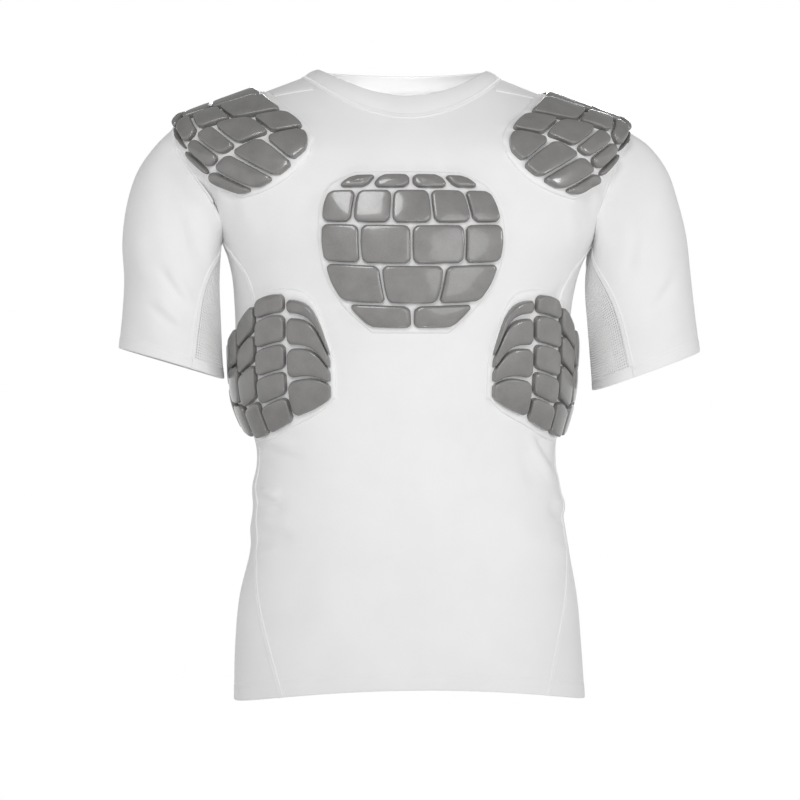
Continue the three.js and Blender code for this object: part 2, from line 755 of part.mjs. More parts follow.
const shirt = new THREE.Group();
shirt.add(namedMesh("front_panel", frontPanel(), KNIT));
shirt.add(namedMesh("back_panel", backPanel(), KNIT));
shirt.add(namedMesh("collar_band", collarBand(), KNIT));
for (const side of ["left", "right"]) {
  shirt.add(namedMesh("side_panel_" + side, sidePanel(side), KNIT));
  shirt.add(namedMesh("sleeve_" + side, sleeve(side), KNIT));
  shirt.add(namedMesh("underarm_mesh_" + side, sleeveMesh(side), MESH_KNIT));
}
for (const [kind, pad] of Object.entries(PADS)) {
  for (const side of pad.sides) {
    const name = side === "middle" ? kind + "_pad" : kind + "_pad_" + side;
    shirt.add(namedMesh(name, padGeometry(pad, side), PAD_GREY));
  }
}

export default shirt;
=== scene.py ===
# A padded compression shirt, worn and hollow, dressed over its fixed frame. Sizes are in
# millimetres until a mesh is made, and "left" and "right" are the viewer's.
import math

import bpy
import numpy as np
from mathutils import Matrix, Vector


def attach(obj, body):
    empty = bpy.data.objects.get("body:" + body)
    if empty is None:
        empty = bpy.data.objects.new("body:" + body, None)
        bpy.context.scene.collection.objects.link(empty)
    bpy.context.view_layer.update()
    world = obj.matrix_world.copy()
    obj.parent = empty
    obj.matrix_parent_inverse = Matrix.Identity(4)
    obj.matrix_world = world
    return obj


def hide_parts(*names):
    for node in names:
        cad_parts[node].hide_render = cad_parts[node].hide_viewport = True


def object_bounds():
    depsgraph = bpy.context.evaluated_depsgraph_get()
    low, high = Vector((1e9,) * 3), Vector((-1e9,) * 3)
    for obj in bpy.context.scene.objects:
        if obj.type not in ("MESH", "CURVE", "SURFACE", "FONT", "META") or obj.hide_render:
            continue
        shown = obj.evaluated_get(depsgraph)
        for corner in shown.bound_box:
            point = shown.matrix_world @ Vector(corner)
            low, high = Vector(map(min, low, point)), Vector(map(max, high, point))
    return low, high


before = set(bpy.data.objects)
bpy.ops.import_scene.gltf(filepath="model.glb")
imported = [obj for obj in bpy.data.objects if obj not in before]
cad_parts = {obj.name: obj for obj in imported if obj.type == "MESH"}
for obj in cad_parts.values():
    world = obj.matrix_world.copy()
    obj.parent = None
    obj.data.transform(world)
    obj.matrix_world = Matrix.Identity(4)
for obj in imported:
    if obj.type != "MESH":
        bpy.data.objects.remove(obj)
cad_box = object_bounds()
scene = bpy.context.scene

# The studio. A round pale floor below the shirt, bright soft light from the whole horizon,
# large soft lamps ahead and behind, small ones below and on the right for the pods' bright
# edges, and one inside the neck. The camera stands level with the middle of the shirt.
MM = 0.001
VIEW_TURN = math.radians(4.5)
VIEW_DISTANCE = 3.5
VIEW_WIDTH = 0.9016
SENSOR_WIDTH = 36.0
LOOK_AT = Vector((-0.0023, 0.0, -0.347))
FLOOR_DROP = 0.26
FLOOR_RADIUS = 0.85
FLOOR_SIDES = 64


def pointed_at(thing, place, target):
    thing.location = place
    thing.rotation_euler = (Vector(target) - Vector(place)).to_track_quat("-Z", "Y").to_euler()
    scene.collection.objects.link(thing)


def soft_lamp(name, place, target, width, power):
    lamp = bpy.data.lights.new(name, "AREA")
    lamp.shape = "DISK"
    lamp.size = width
    lamp.energy = power
    pointed_at(bpy.data.objects.new(name, lamp), place, target)


def pale_floor(place):
    mesh = bpy.data.meshes.new("studio_floor")
    turns = [2 * math.pi * i / FLOOR_SIDES for i in range(FLOOR_SIDES)]
    rim = [(FLOOR_RADIUS * math.cos(t), FLOOR_RADIUS * math.sin(t), place) for t in turns]
    mesh.from_pydata(rim, [], [list(range(FLOOR_SIDES))])
    floor = bpy.data.objects.new("studio_floor", mesh)
    material = bpy.data.materials.new("studio_floor_white")
    material.use_nodes = True
    shader = material.node_tree.nodes["Principled BSDF"]
    shader.inputs["Base Color"].default_value = (0.86, 0.86, 0.86, 1)
    shader.inputs["Roughness"].default_value = 0.8
    mesh.materials.append(material)
    scene.collection.objects.link(floor)


def bright_horizon():
    world = bpy.data.worlds.new("studio_light")
    world.use_nodes = True
    nodes, links = world.node_tree.nodes, world.node_tree.links
    where = nodes.new("ShaderNodeTexCoord")
    parts = nodes.new("ShaderNodeSeparateXYZ")
    ramp = nodes.new("ShaderNodeValToRGB")
    halved = nodes.new("ShaderNodeMapRange")
    halved.inputs["From Min"].default_value = -1
    links.new(where.outputs["Generated"], parts.inputs["Vector"])
    links.new(parts.outputs["Z"], halved.inputs["Value"])
    links.new(halved.outputs["Result"], ramp.inputs["Fac"])
    links.new(ramp.outputs["Color"], nodes["Background"].inputs["Color"])
    ramp.color_ramp.interpolation = "EASE"
    stops = [(0.3, 0.45), (0.42, 1.0), (0.57, 1.0), (0.64, 0.34)]
    while len(ramp.color_ramp.elements) < len(stops):
        ramp.color_ramp.elements.new(0.5)
    for element, (height, grey) in zip(ramp.color_ramp.elements, stops):
        element.position = height
        element.color = (grey, grey, grey, 1)
    nodes["Background"].inputs["Strength"].default_value = 1.0
    scene.world = world


camera = bpy.data.cameras.new("camera")
camera.sensor_width = SENSOR_WIDTH
camera.lens = SENSOR_WIDTH * VIEW_DISTANCE / VIEW_WIDTH
camera.clip_end = 50
camera_object = bpy.data.objects.new("camera", camera)
back_off = Vector((-math.sin(VIEW_TURN), -math.cos(VIEW_TURN), 0)) * VIEW_DISTANCE
pointed_at(camera_object, LOOK_AT + back_off, LOOK_AT)
scene.camera = camera_object
scene.view_settings.view_transform = "Standard"

pale_floor(cad_box[0][2] - FLOOR_DROP)
bright_horizon()
soft_lamp("key_lamp", (-0.5, -2.6, 0.9), (0, 0, -0.3), 1.0, 21)
soft_lamp("fill_lamp", (0.9, -2.6, 0.0), (0, 0, -0.35), 1.0, 6)
soft_lamp("low_strip_lamp", (0.2, -1.9, -1.5), (0, 0, -0.25), 0.3, 4)
soft_lamp("side_strip_lamp", (1.7, -1.5, 0.1), (0, 0, -0.25), 0.3, 4)
soft_lamp("neck_lamp", (0, -0.03, -0.05), (0, 0.1, -0.01), 0.08, 0.1)
soft_lamp("back_lamp", (0.5, 2.6, 0.7), (0, 0, -0.35), 1.4, 30)

# The front panel, one piece of white stretch knit from hem to collar, with its side seams
# swinging forward at the hem. It follows the worn body's rows, from the hem (0) to the collar
# seam (18), and its hem is turned up inside. Shares run from the front centre to the side.
BODY_ROWS = np.array([
    # centreX, frontY, frontZ, backY, backZ, leftX, rightX, sideY, sideZ, fullness
    [9, -105, -665, 110, -678, -189, 207, 2, -683, 0.62],
    [8, -105, -609, 111, -621, -188, 203, 2, -625, 0.62],
    [8, -103, -555, 106, -564, -183, 198, 2, -568, 0.61],
    [8, -100, -502, 98, -508, -170, 188, 2, -511, 0.6],
    [7, -101, -450, 92, -453, -167, 180, 2, -455, 0.6],
    [5, -105, -398, 91, -399, -164, 173, 2, -400, 0.6],
    [3, -112, -345, 96, -345, -183, 186, 2, -345, 0.62],
    [2, -118, -297, 103, -296, -187, 190, 2, -295, 0.62],
    [1, -122, -253, 110, -250, -188, 191, 2, -248, 0.62],
    [1, -124, -214, 115, -211, -192, 200, 2, -204, 0.61],
    [0, -124, -182, 118, -178, -203, 217, 2, -166, 0.6],
    [0, -123, -156, 119, -149, -212, 224, 3, -147, 0.59],
    [0, -120, -133, 118, -121, -229, 234, 4, -122, 0.58],
    [0, -116, -111, 115, -95, -250, 247, 5, -94, 0.57],
    [0, -110, -91, 110, -71, -262, 257, 6, -66, 0.56],
    [0, -104, -74, 103, -48, -256, 255, 6, -41, 0.55],
    [0, -97, -60, 95, -28, -225, 224, 7, -27, 0.55],
    [0, -90, -48, 86, -11, -184, 183, 7, -12, 0.55],
    [0, -82, -35, 76, 7, -111, 111, 6, 16, 0.55],
])
ARMPIT_ROW, TIP_ROW, COLLAR_ROW = 10, 15, 18
ARMHOLE_MIDDLE = (ARMPIT_ROW + TIP_ROW) / 2
ARMHOLE_HALF = (TIP_ROW - ARMPIT_ROW) / 2
FRONT_SIDE_SEAM = np.array([0.515, 0.6, 0.71, 0.84, 0.88, 0.9, 0.83, 0.74, 0.69, 0.76, 1])
SHOULDER_SEAM = np.array([1, 0.93, 0.83, 0.64])
ARMHOLE_FRONT_SWING = 0.21
SEAM_GAP = 0.3
CLOTH_WALL = 1.1
HEM_WALL = 2.2
HEM_ROW = 0.32
HEM_STEP = 0.03
HEM_PROUD = 0.35
HEM_GROOVE = 0.5
HEM_FOLD = 0.8
WALE = 0.9
COURSE = 0.8
CLOTH_FINENESS = 4.2
CREASE_DEPTH = 1.6
NORMAL_STEP = 0.001
PROBE_STEP = 0.01

# The five largest folds stand in the frame too: share, row, slant, half share, half row, height.
BIG_FOLDS = [
    (-0.93, 4.2, -0.15, 0.16, 0.28, 3),
    (-1.02, 3.35, 0.3, 0.18, 0.25, 2.5),
    (0.75, 4.75, -2.2, 0.1, 0.5, 2.5),
    (1.35, 4.1, 0.4, 0.25, 0.3, 3),
    (-1.4, 3.7, -0.4, 0.25, 0.3, 3),
]

# Creases as seen from the front: both ends in x and z, half width and height (a trough is
# below zero).
FRONT_CREASES = [
    (-228, -92, -206, -146, 6, -2.0),
    (-219, -84, -196, -140, 6, 1.4),
    (-186, -118, -166, -176, 9, 1.2),
    (-163, -388, -118, -402, 7, 1.6),
    (-164, -402, -112, -412, 6, -1.6),
    (-160, -443, -140, -455, 6, 2.4),
    (-166, -455, -136, -470, 6, -1.8),
    (-168, -476, -120, -486, 9, 1.5),
    (-166, -494, -124, -502, 8, -1.2),
    (-172, -520, -138, -512, 9, 1.2),
    (134, -382, 166, -440, 5, 2.2),
    (142, -380, 173, -432, 5, -2.2),
    (120, -392, 150, -452, 8, -1.0),
    (168, -452, 186, -476, 7, 1.8),
    (160, -462, 182, -488, 6, -1.5),
    (150, -500, 188, -520, 9, 1.2),
    (-60, -420, 40, -436, 16, 0.8),
    (-90, -610, -96, -520, 16, 0.7),
    (60, -600, 48, -500, 18, -0.7),
    (196, -96, 214, -150, 7, -1.6),
    (204, -90, 222, -142, 6, 1.2),
    (176, -120, 190, -176, 9, 1.0),
    (-150, -230, -140, -262, 5, 1.2),
    (176, -214, 160, -250, 5, -1.2),
]
BACK_CREASES = [
    (-150, -386, -40, -420, 10, 1.8),
    (-140, -402, -30, -438, 8, -1.6),
    (150, -392, 50, -428, 10, 1.6),
    (146, -410, 44, -446, 8, -1.5),
    (-158, -452, -60, -474, 11, 1.4),
    (160, -458, 62, -482, 11, 1.4),
    (-110, -300, -60, -400, 14, -1.0),
    (108, -300, 60, -398, 14, -1.0),
    (-50, -130, -16, -240, 14, -0.9),
    (52, -132, 18, -244, 14, -0.9),
    (-214, -96, -176, -170, 8, 1.6),
    (212, -96, 180, -170, 8, 1.6),
    (-100, -560, -80, -660, 16, 0.9),
    (96, -556, 84, -660, 16, 0.9),
]


def mix(a, b, share):
    return a + (b - a) * share


def smooth_value(values, place):
    """A smooth value between a table's rows."""
    i = np.clip(np.floor(place).astype(int), 0, len(values) - 2)
    f = place - i
    whole = np.concatenate([[2 * values[0] - values[1]], values, [2 * values[-1] - values[-2]]])
    before, a, b, after = whole[i], whole[i + 1], whole[i + 2], whole[i + 3]
    square = 2 * before - 5 * a + 4 * b - after
    cube = 3 * a - before - 3 * b + after
    return 0.5 * (2 * a + (b - before) * f + square * f**2 + cube * f**3)


def quarter_ring(centre, side, fullness, t):
    """A point of a quarter ring, whose centre and side points are lists of x, y and z."""
    s = 1 - t
    first = (mix(centre[0], side[0], fullness), centre[1], centre[2])
    second = (side[0], mix(side[1], centre[1], fullness), side[2])
    weights = (s**3, 3 * s * s * t, 3 * s * t * t, t**3)
    points = (centre, first, second, side)
    return np.stack(
        [sum(w * p[i] for w, p in zip(weights, points)) for i in range(3)], axis=-1
    )


def round_turn(share):
    """The share brought between -2 and 2, whether it is in front, and the way to the side."""
    turned = (share + 2) % 4 - 2
    front = np.abs(turned) <= 1
    return turned, front, np.where(front, np.abs(turned), 2 - np.abs(turned))


def body_form(share, row):
    share, row = np.broadcast_arrays(np.asarray(share, float), np.asarray(row, float))
    turned, front, t = round_turn(share)
    at = [smooth_value(BODY_ROWS[:, i], row) for i in range(10)]
    centre = (at[0], np.where(front, at[1], at[3]), np.where(front, at[2], at[4]))
    side = (np.where(turned < 0, at[5], at[6]), at[7], at[8])
    return quarter_ring(centre, side, at[9], t)


def normals_of(surface, a, b, turned=1):
    across = surface(a + NORMAL_STEP, b) - surface(a - NORMAL_STEP, b)
    along = surface(a, b + NORMAL_STEP) - surface(a, b - NORMAL_STEP)
    normal = np.cross(across, along) * turned
    return normal / np.linalg.norm(normal, axis=-1, keepdims=True)


def crease_height(points, creases):
    """Soft ridges and troughs along lines seen from the front, thinning to their ends."""
    height = np.zeros(points.shape[:-1])
    for x1, z1, x2, z2, half, top in creases:
        line = np.array([x2 - x1, z2 - z1], float)
        long = np.hypot(*line)
        away = points[..., [0, 2]] - np.array([x1, z1])
        along = away @ line / long**2
        across = (away[..., 0] * line[1] - away[..., 1] * line[0]) / long
        wander = across + 0.12 * half * np.sin(5 * along + x1)
        taper = np.exp(-np.clip(np.abs(along - 0.5) * 2 - 0.35, 0, None) ** 2 / 0.18)
        height += top * np.exp(-((wander / half) ** 2)) * taper
    return height * CREASE_DEPTH


def big_folds(share, row):
    height = 0.0
    for centre, middle, slant, wide, tall, top in BIG_FOLDS:
        along = (share - centre) / wide
        across = (row - middle - slant * (share - centre)) / tall
        height = height + top * np.exp(-along * along - across * across)
    return height


def body_cloth(share, row, lift=0.0):
    """A point of the creased body cloth, moved out by the lift."""
    share, row = np.broadcast_arrays(np.asarray(share, float), np.asarray(row, float))
    points = body_form(share, row)
    turned = (share + 2) % 4 - 2
    creases = np.where(
        points[..., 1] < 0,
        crease_height(points, FRONT_CREASES),
        crease_height(points, BACK_CREASES),
    )
    high = big_folds(turned, row) + creases + lift
    return points + normals_of(body_form, share, row) * high[..., None]


def armhole_bow(row):
    """How far the armhole has swung in at a row: 0 at both its ends and 1 halfway."""
    return np.sqrt(np.clip(1 - ((row - ARMHOLE_MIDDLE) / ARMHOLE_HALF) ** 2, 0, None))


def front_seam(row):
    row = np.asarray(row, float)
    side = smooth_value(FRONT_SIDE_SEAM, row)
    shoulder = smooth_value(SHOULDER_SEAM, row - TIP_ROW)
    armhole = 1 - ARMHOLE_FRONT_SWING * armhole_bow(row)
    return np.where(row < ARMPIT_ROW, side, np.where(row < TIP_ROW, armhole, shoulder))


def share_for(share, row, distance):
    """How far a share of one row moves to cover a distance in millimetres."""
    near = body_form(share, row)
    far = body_form(share - PROBE_STEP, row)
    return distance * PROBE_STEP / np.linalg.norm(near - far, axis=-1)


def grid_faces(columns, rows, ring=False, turned=False):
    """The four-sided faces of a closed sheet: outer face, inner face and their rims."""
    layer = columns * rows
    across = np.arange(columns if ring else columns - 1)
    i, j = (a.ravel() for a in np.meshgrid(across, np.arange(rows - 1)))
    k = (i + 1) % columns
    low, high = j * columns, (j + 1) * columns
    outer = np.stack([low + i, low + k, high + k, high + i], 1)
    inner = np.stack([low + i, high + i, high + k, low + k], 1) + layer
    e = across
    f = (e + 1) % columns
    top = (rows - 1) * columns
    foot = np.stack([e, e + layer, f + layer, f], 1)
    head = np.stack([top + e, top + f, top + f + layer, top + e + layer], 1)
    faces = [outer, inner, foot, head]
    if not ring:
        j = np.arange(rows - 1) * columns
        right = j + columns - 1
        faces.append(np.stack([j, j + columns, j + columns + layer, j + layer], 1))
        faces.append(np.stack([right, right + layer, right + columns + layer, right + columns], 1))
    faces = np.concatenate(faces)
    return faces[:, ::-1] if turned else faces


def cloth_uv(outer):
    """Millimetres across and along the cloth, for the knit's own grain."""
    wide = np.linalg.norm(np.diff(outer, axis=1), axis=-1)
    tall = np.linalg.norm(np.diff(outer, axis=0), axis=-1)
    u = np.concatenate([np.zeros((outer.shape[0], 1)), np.cumsum(wide, 1)], 1)
    v = np.concatenate([np.zeros((1, outer.shape[1])), np.cumsum(tall, 0)], 0)
    return np.stack([u - u.mean(1, keepdims=True), v], -1)


def new_piece(name, points, faces, uv, materials, kinds=None, sharp=50):
    """A Blender object from points in millimetres, smooth except at edges past the angle."""
    mesh = bpy.data.meshes.new(name)
    mesh.from_pydata((points * MM).tolist(), [], faces.tolist())
    corners = np.empty(len(mesh.loops), dtype=np.int32)
    mesh.loops.foreach_get("vertex_index", corners)
    layer = mesh.uv_layers.new(name="cloth")
    layer.data.foreach_set("uv", uv[corners].astype(np.float32).ravel())
    mesh.polygons.foreach_set("use_smooth", np.ones(len(mesh.polygons), dtype=bool))
    for material in materials:
        mesh.materials.append(material)
    if kinds is not None:
        mesh.polygons.foreach_set("material_index", kinds.astype(np.int32))
    mesh.update()
    mesh.set_sharp_from_angle(angle=math.radians(sharp))
    piece = bpy.data.objects.new(name, mesh)
    scene.collection.objects.link(piece)
    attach(piece, "root")
    return piece


def sheet_piece(name, outer, inner, material, ring=False, turned=False):
    """A closed sheet of cloth from its outer and inner grids of points."""
    rows, columns = outer.shape[:2]
    points = np.concatenate([outer.reshape(-1, 3), inner.reshape(-1, 3)])
    uv = cloth_uv(outer).reshape(-1, 2)
    faces = grid_faces(columns, rows, ring, turned)
    return new_piece(name, points, faces, np.concatenate([uv, uv]), [material])


class Paint:
    """The nodes of one material, added and joined by short calls."""

    def __init__(self, name):
        self.material = bpy.data.materials.new(name)
        self.material.use_nodes = True
        self.nodes = self.material.node_tree.nodes
        self.links = self.material.node_tree.links
        self.shader = self.nodes["Principled BSDF"]

    def join(self, value, socket):
        if hasattr(value, "links"):
            self.links.new(value, socket)
        else:
            socket.default_value = value

    def grain(self):
        return self.nodes.new("ShaderNodeUVMap").outputs["UV"]

    def place(self):
        return self.nodes.new("ShaderNodeTexCoord").outputs["Object"]

    def sum(self, kind, a, b=0.5, c=0.5):
        node = self.nodes.new("ShaderNodeMath")
        node.operation = kind
        for value, socket in zip((a, b, c), node.inputs):
            self.join(value, socket)
        return node.outputs[0]

    def noise(self, where, scale, detail=2.0):
        node = self.nodes.new("ShaderNodeTexNoise")
        self.join(where, node.inputs["Vector"])
        node.inputs["Scale"].default_value = scale
        node.inputs["Detail"].default_value = detail
        return node.outputs["Fac"]

    def shades(self, value, stops):
        node = self.nodes.new("ShaderNodeValToRGB")
        self.join(value, node.inputs["Fac"])
        while len(node.color_ramp.elements) < len(stops):
            node.color_ramp.elements.new(0.5)
        for element, (position, colour) in zip(node.color_ramp.elements, stops):
            element.position = position
            element.color = (*colour, 1)
        return node.outputs["Color"]

    def relief(self, height, distance, strength, under=None):
        node = self.nodes.new("ShaderNodeBump")
        self.join(height, node.inputs["Height"])
        node.inputs["Distance"].default_value = distance
        node.inputs["Strength"].default_value = strength
        if under is not None:
            self.join(under, node.inputs["Normal"])
        return node.outputs["Normal"]


def stitches(paint, wale, course):
    """The height of knit stitches, 0 to 1: upright wales crossed by leaning courses."""
    parts = paint.nodes.new("ShaderNodeSeparateXYZ")
    paint.join(paint.grain(), parts.inputs["Vector"])
    across = paint.sum("MULTIPLY", parts.outputs["X"], 2 * math.pi / wale)
    ribs = paint.sum("COSINE", across)
    lean = paint.sum("MULTIPLY", paint.sum("ABSOLUTE", paint.sum("SINE", across, 0)), 1.6)
    up = paint.sum("MULTIPLY_ADD", parts.outputs["Y"], 2 * math.pi / course, lean)
    loops = paint.sum("SINE", up)
    both = paint.sum("MULTIPLY_ADD", loops, 0.5, ribs)
    return paint.sum("MULTIPLY_ADD", both, 0.333, 0.5)


def white_knit():
    """Smooth stretch jersey: fine upright stitches, a soft sheen, faint unevenness, and painted shade
    in the grooves between the stitches.
    """
    paint = Paint("white_stretch_knit")
    height = stitches(paint, WALE, COURSE)
    cloud = paint.noise(paint.place(), 14, 3)
    fine = paint.noise(paint.place(), 520, 2)
    # The colour is partly the knit's random tone and partly painted shade: it darkens where the
    # stitches lie low.
    tone = paint.sum("MULTIPLY_ADD", cloud, 0.6, paint.sum("MULTIPLY", height, 0.4))
    colour = paint.shades(tone, [(0.2, (0.79, 0.79, 0.795)), (0.75, (0.875, 0.875, 0.87))])
    paint.join(colour, paint.shader.inputs["Base Color"])
    soft = paint.relief(cloud, 0.004, 0.25)
    slub = paint.relief(fine, 0.0004, 0.25, soft)
    paint.join(paint.relief(height, 0.00018, 0.4, slub), paint.shader.inputs["Normal"])
    paint.shader.inputs["Roughness"].default_value = 0.72
    paint.shader.inputs["Sheen Weight"].default_value = 0.12
    paint.shader.inputs["Sheen Roughness"].default_value = 0.4
    paint.shader.inputs["Specular IOR Level"].default_value = 0.35
    return paint.material


def hem_wall(row):
    """The cloth's thickness: double where the hem is turned up, easing off past its stitches."""
    past = np.clip((row - HEM_ROW) / HEM_STEP, 0, 1)
    return mix(HEM_WALL, CLOTH_WALL, past)


def hem_swell(row):
    """The turned-up hem stands a little proud, and its stitches draw a groove above it."""
    proud = HEM_PROUD * (1 - np.clip((row - HEM_ROW) / HEM_STEP, 0, 1))
    groove = -HEM_GROOVE * np.exp(-(((row - HEM_ROW + 0.015) / 0.022) ** 2))
    fold = -HEM_FOLD * np.clip(1 - row / 0.035, 0, 1) ** 2
    return proud + groove + fold


def body_levels(last, top_gap=0.0):
    """Rows from the hem up: fine in the turned-up hem, then as even as the cloth's length."""
    lengths = np.abs(np.diff(BODY_ROWS[:, 8]))
    reach = np.concatenate([[0], np.cumsum(lengths)])
    hem = [0, 0.012, 0.03, 0.07, 0.15, 0.23, 0.27, 0.3, 0.325, 0.35, 0.39, 0.44]
    start = np.interp(hem[-1], np.arange(len(reach)), reach)
    end = np.interp(last, np.arange(len(reach)), reach)
    count = int((end - start) / CLOTH_FINENESS)
    rest = np.interp(np.linspace(start, end, count + 1)[1:], reach, np.arange(len(reach)))
    rest[-1] = last - top_gap
    return np.concatenate([hem, rest])


def body_sheet(name, rows, first, last, columns, material):
    """A panel of the body between two seams, given as shares row by row."""
    across = np.linspace(0, 1, columns)
    shares = mix(first[:, None], last[:, None], across[None, :])
    level = np.repeat(rows[:, None], columns, 1)
    swell = hem_swell(level)
    outer = body_cloth(shares, level, swell)
    inner = body_cloth(shares, level, swell - hem_wall(level))
    return sheet_piece(name, outer, inner, material)


knit = white_knit()
front_rows = body_levels(COLLAR_ROW, 0.02)
front_edge = front_seam(front_rows)
front_edge = front_edge - share_for(front_edge, front_rows, SEAM_GAP / 2)
front_panel = body_sheet("front_panel_cloth", front_rows, -front_edge, front_edge, 96, knit)
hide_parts("front_panel")

# The back panel, one piece of the same knit from hem to collar. Its side seams lie behind the
# side line, and at the shoulder it comes over the ridge to meet the front panel.
BACK_SIDE_SEAM = np.array([0.62, 0.7, 0.77, 0.82, 0.84, 0.84, 0.8, 0.78, 0.77, 0.82, 1])
ARMHOLE_BACK_SWING = 0.23


def back_seam(row):
    row = np.asarray(row, float)
    side = 2 - smooth_value(BACK_SIDE_SEAM, row)
    armhole = 1 + ARMHOLE_BACK_SWING * armhole_bow(row)
    return np.where(row < ARMPIT_ROW, side, np.where(row < TIP_ROW, armhole, front_seam(row)))


back_rows = body_levels(COLLAR_ROW, 0.02)
back_edge = back_seam(back_rows)
back_edge = back_edge + share_for(back_edge, back_rows, SEAM_GAP / 2)
back_panel = body_sheet("back_panel_cloth", back_rows, back_edge, 4 - back_edge, 92, knit)
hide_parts("back_panel")

# The side panels, a long narrow strip of knit down each side, from a point under the arm to
# the wide end at the hem. Each is sewn between the front and the back panel.
SIDE_TOP_ROW = 9.94


def side_panel(side):
    rows = body_levels(SIDE_TOP_ROW)
    front = front_seam(rows)
    back = back_seam(rows)
    front = front + share_for(front, rows, SEAM_GAP / 2)
    back = back - share_for(back, rows, SEAM_GAP / 2)
    name = "side_panel_" + side
    if side == "left":
        front, back = -back, -front
    piece = body_sheet(name + "_cloth", rows, front, back, 26, knit)
    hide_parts(name)
    return piece


side_panels = {side: side_panel(side) for side in ("left", "right")}

# The collar band, a strip of knit folded double along its free edge and sewn on all round,
# so its edge is round and a little proud. It stands in a low ring, higher at the back.
COLLAR_FRONT = (0.0, -68.0, -10.0)
COLLAR_BACK = (0.0, 63.0, 25.0)
COLLAR_SIDE = (95.0, 4.0, 25.0)
COLLAR_FULLNESS = 0.56
COLLAR_SWELL = 1.5
COLLAR_WALL = 2.2


def collar_form(share, height):
    share, height = np.broadcast_arrays(np.asarray(share, float), np.asarray(height, float))
    turned, front, t = round_turn(share)
    centre = [np.where(front, a, b) for a, b in zip(COLLAR_FRONT, COLLAR_BACK)]
    side = [np.sign(turned) * COLLAR_SIDE[0], COLLAR_SIDE[1] + 0 * t, COLLAR_SIDE[2] + 0 * t]
    top = quarter_ring(centre, side, COLLAR_FULLNESS, t)
    return mix(body_form(share, COLLAR_ROW + 0 * height), top, height[..., None])


def collar_cloth(share, height, lift=0.0):
    swell = COLLAR_SWELL * np.sin(np.pi * np.clip(height, 0, 1)) + lift
    wave = 0.35 * np.sin(7.3 * share + 1.1) * np.sin(3.1 * share) * height
    normal = normals_of(collar_form, share, height)
    return collar_form(share, height) + normal * (swell + wave)[..., None]


def collar_band():
    shares, heights = np.meshgrid(np.linspace(-2, 2, 180, endpoint=False), [
        0.02, 0.05, 0.1, 0.17, 0.25, 0.35, 0.46, 0.57, 0.68, 0.79, 0.88, 0.94, 0.975, 1.0
    ])
    edge = np.clip((1 - heights) / 0.06, 0, 1)
    wall = COLLAR_WALL * np.sqrt(1 - (1 - edge) ** 2) * 0.96 + 0.08
    middle = -COLLAR_WALL / 2
    outer = collar_cloth(shares, heights, middle + wall / 2)
    inner = collar_cloth(shares, heights, middle - wall / 2)
    band = sheet_piece("collar_band_cloth", outer, inner, knit, ring=True)
    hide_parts("collar_band")
    return band


collar = collar_band()

# The sleeves, short and close, each cut in one piece that runs over the top of the arm. The
# underarm is left open for the mesh, and the cuff is turned up inside.
SLEEVE_ROWS = {
    # outerX, outerZ, innerX, innerZ, frontY, backY, from the armhole to the cuff
    "left": np.array([
        [-256, -41, -203, -166, -46, 52], [-277, -62, -204, -186, -52, 58],
        [-297, -91, -205, -206, -57, 62], [-309, -128, -205, -227, -60, 64],
        [-314, -170, -204, -250, -60, 64], [-312, -212, -203, -273, -59, 62],
        [-314, -250, -202, -297, -57, 60], [-318, -289, -200, -323, -56, 59],
    ]),
    "right": np.array([
        [255, -41, 217, -166, -46, 52], [280, -58, 212, -188, -52, 58],
        [301, -86, 209, -210, -57, 62], [313, -120, 209, -232, -60, 64],
        [323, -160, 211, -257, -60, 64], [328, -203, 213, -283, -59, 62],
        [333, -247, 215, -310, -57, 60], [339, -292, 217, -336, -56, 59],
    ]),
}
MESH_HALF_TURN = np.array([0.03, 0.06, 0.095, 0.125, 0.15, 0.168, 0.18, 0.19])
CUFF_RING, CUFF_HEM_RING, CUFF_HEM_STEP = 7, 6.64, 0.03
ARMHOLE_BLEND = 2.6
SLEEVE_MIDDLE_Y = 3
SLEEVE_GIRTH = 360
SLEEVE_CREASES = [
    (-268, -194, -234, -242, 6, 2.0),
    (-276, -196, -242, -246, 6, -1.8),
    (-282, -232, -240, -266, 7, 1.6),
    (-288, -240, -246, -274, 6, -1.3),
    (-250, -128, -226, -196, 8, -1.6),
    (-258, -120, -236, -190, 8, 1.3),
    (-300, -150, -286, -230, 10, 1.0),
    (-296, -262, -240, -300, 9, 0.9),
    (262, -150, 246, -214, 8, -1.4),
    (270, -142, 256, -206, 8, 1.2),
    (300, -196, 268, -240, 8, 1.5),
    (306, -206, 274, -250, 7, -1.2),
    (318, -258, 262, -300, 9, 1.0),
    (236, -110, 246, -170, 7, 1.0),
]
SLEEVE_BACK_CREASES = [
    (-300, -150, -240, -206, 8, 1.6),
    (-302, -166, -242, -220, 7, -1.4),
    (-306, -226, -236, -270, 9, 1.2),
    (-248, -110, -228, -180, 8, -1.3),
    (310, -154, 250, -214, 8, 1.5),
    (312, -170, 254, -230, 7, -1.3),
    (322, -236, 256, -282, 9, 1.2),
    (250, -112, 240, -184, 8, -1.2),
]


def eased(share):
    """A share kept between 0 and 1, with a soft start and a soft stop."""
    share = np.clip(share, 0, 1)
    return share * share * (3 - 2 * share)


def armhole_place(side, turn):
    row = ARMHOLE_MIDDLE + ARMHOLE_HALF * np.cos(2 * np.pi * turn)
    bow = np.abs(np.sin(2 * np.pi * turn))
    ahead = turn <= 0.5
    share = np.where(ahead, 1 - ARMHOLE_FRONT_SWING * bow, 1 + ARMHOLE_BACK_SWING * bow)
    return (-share if side == "left" else share), row


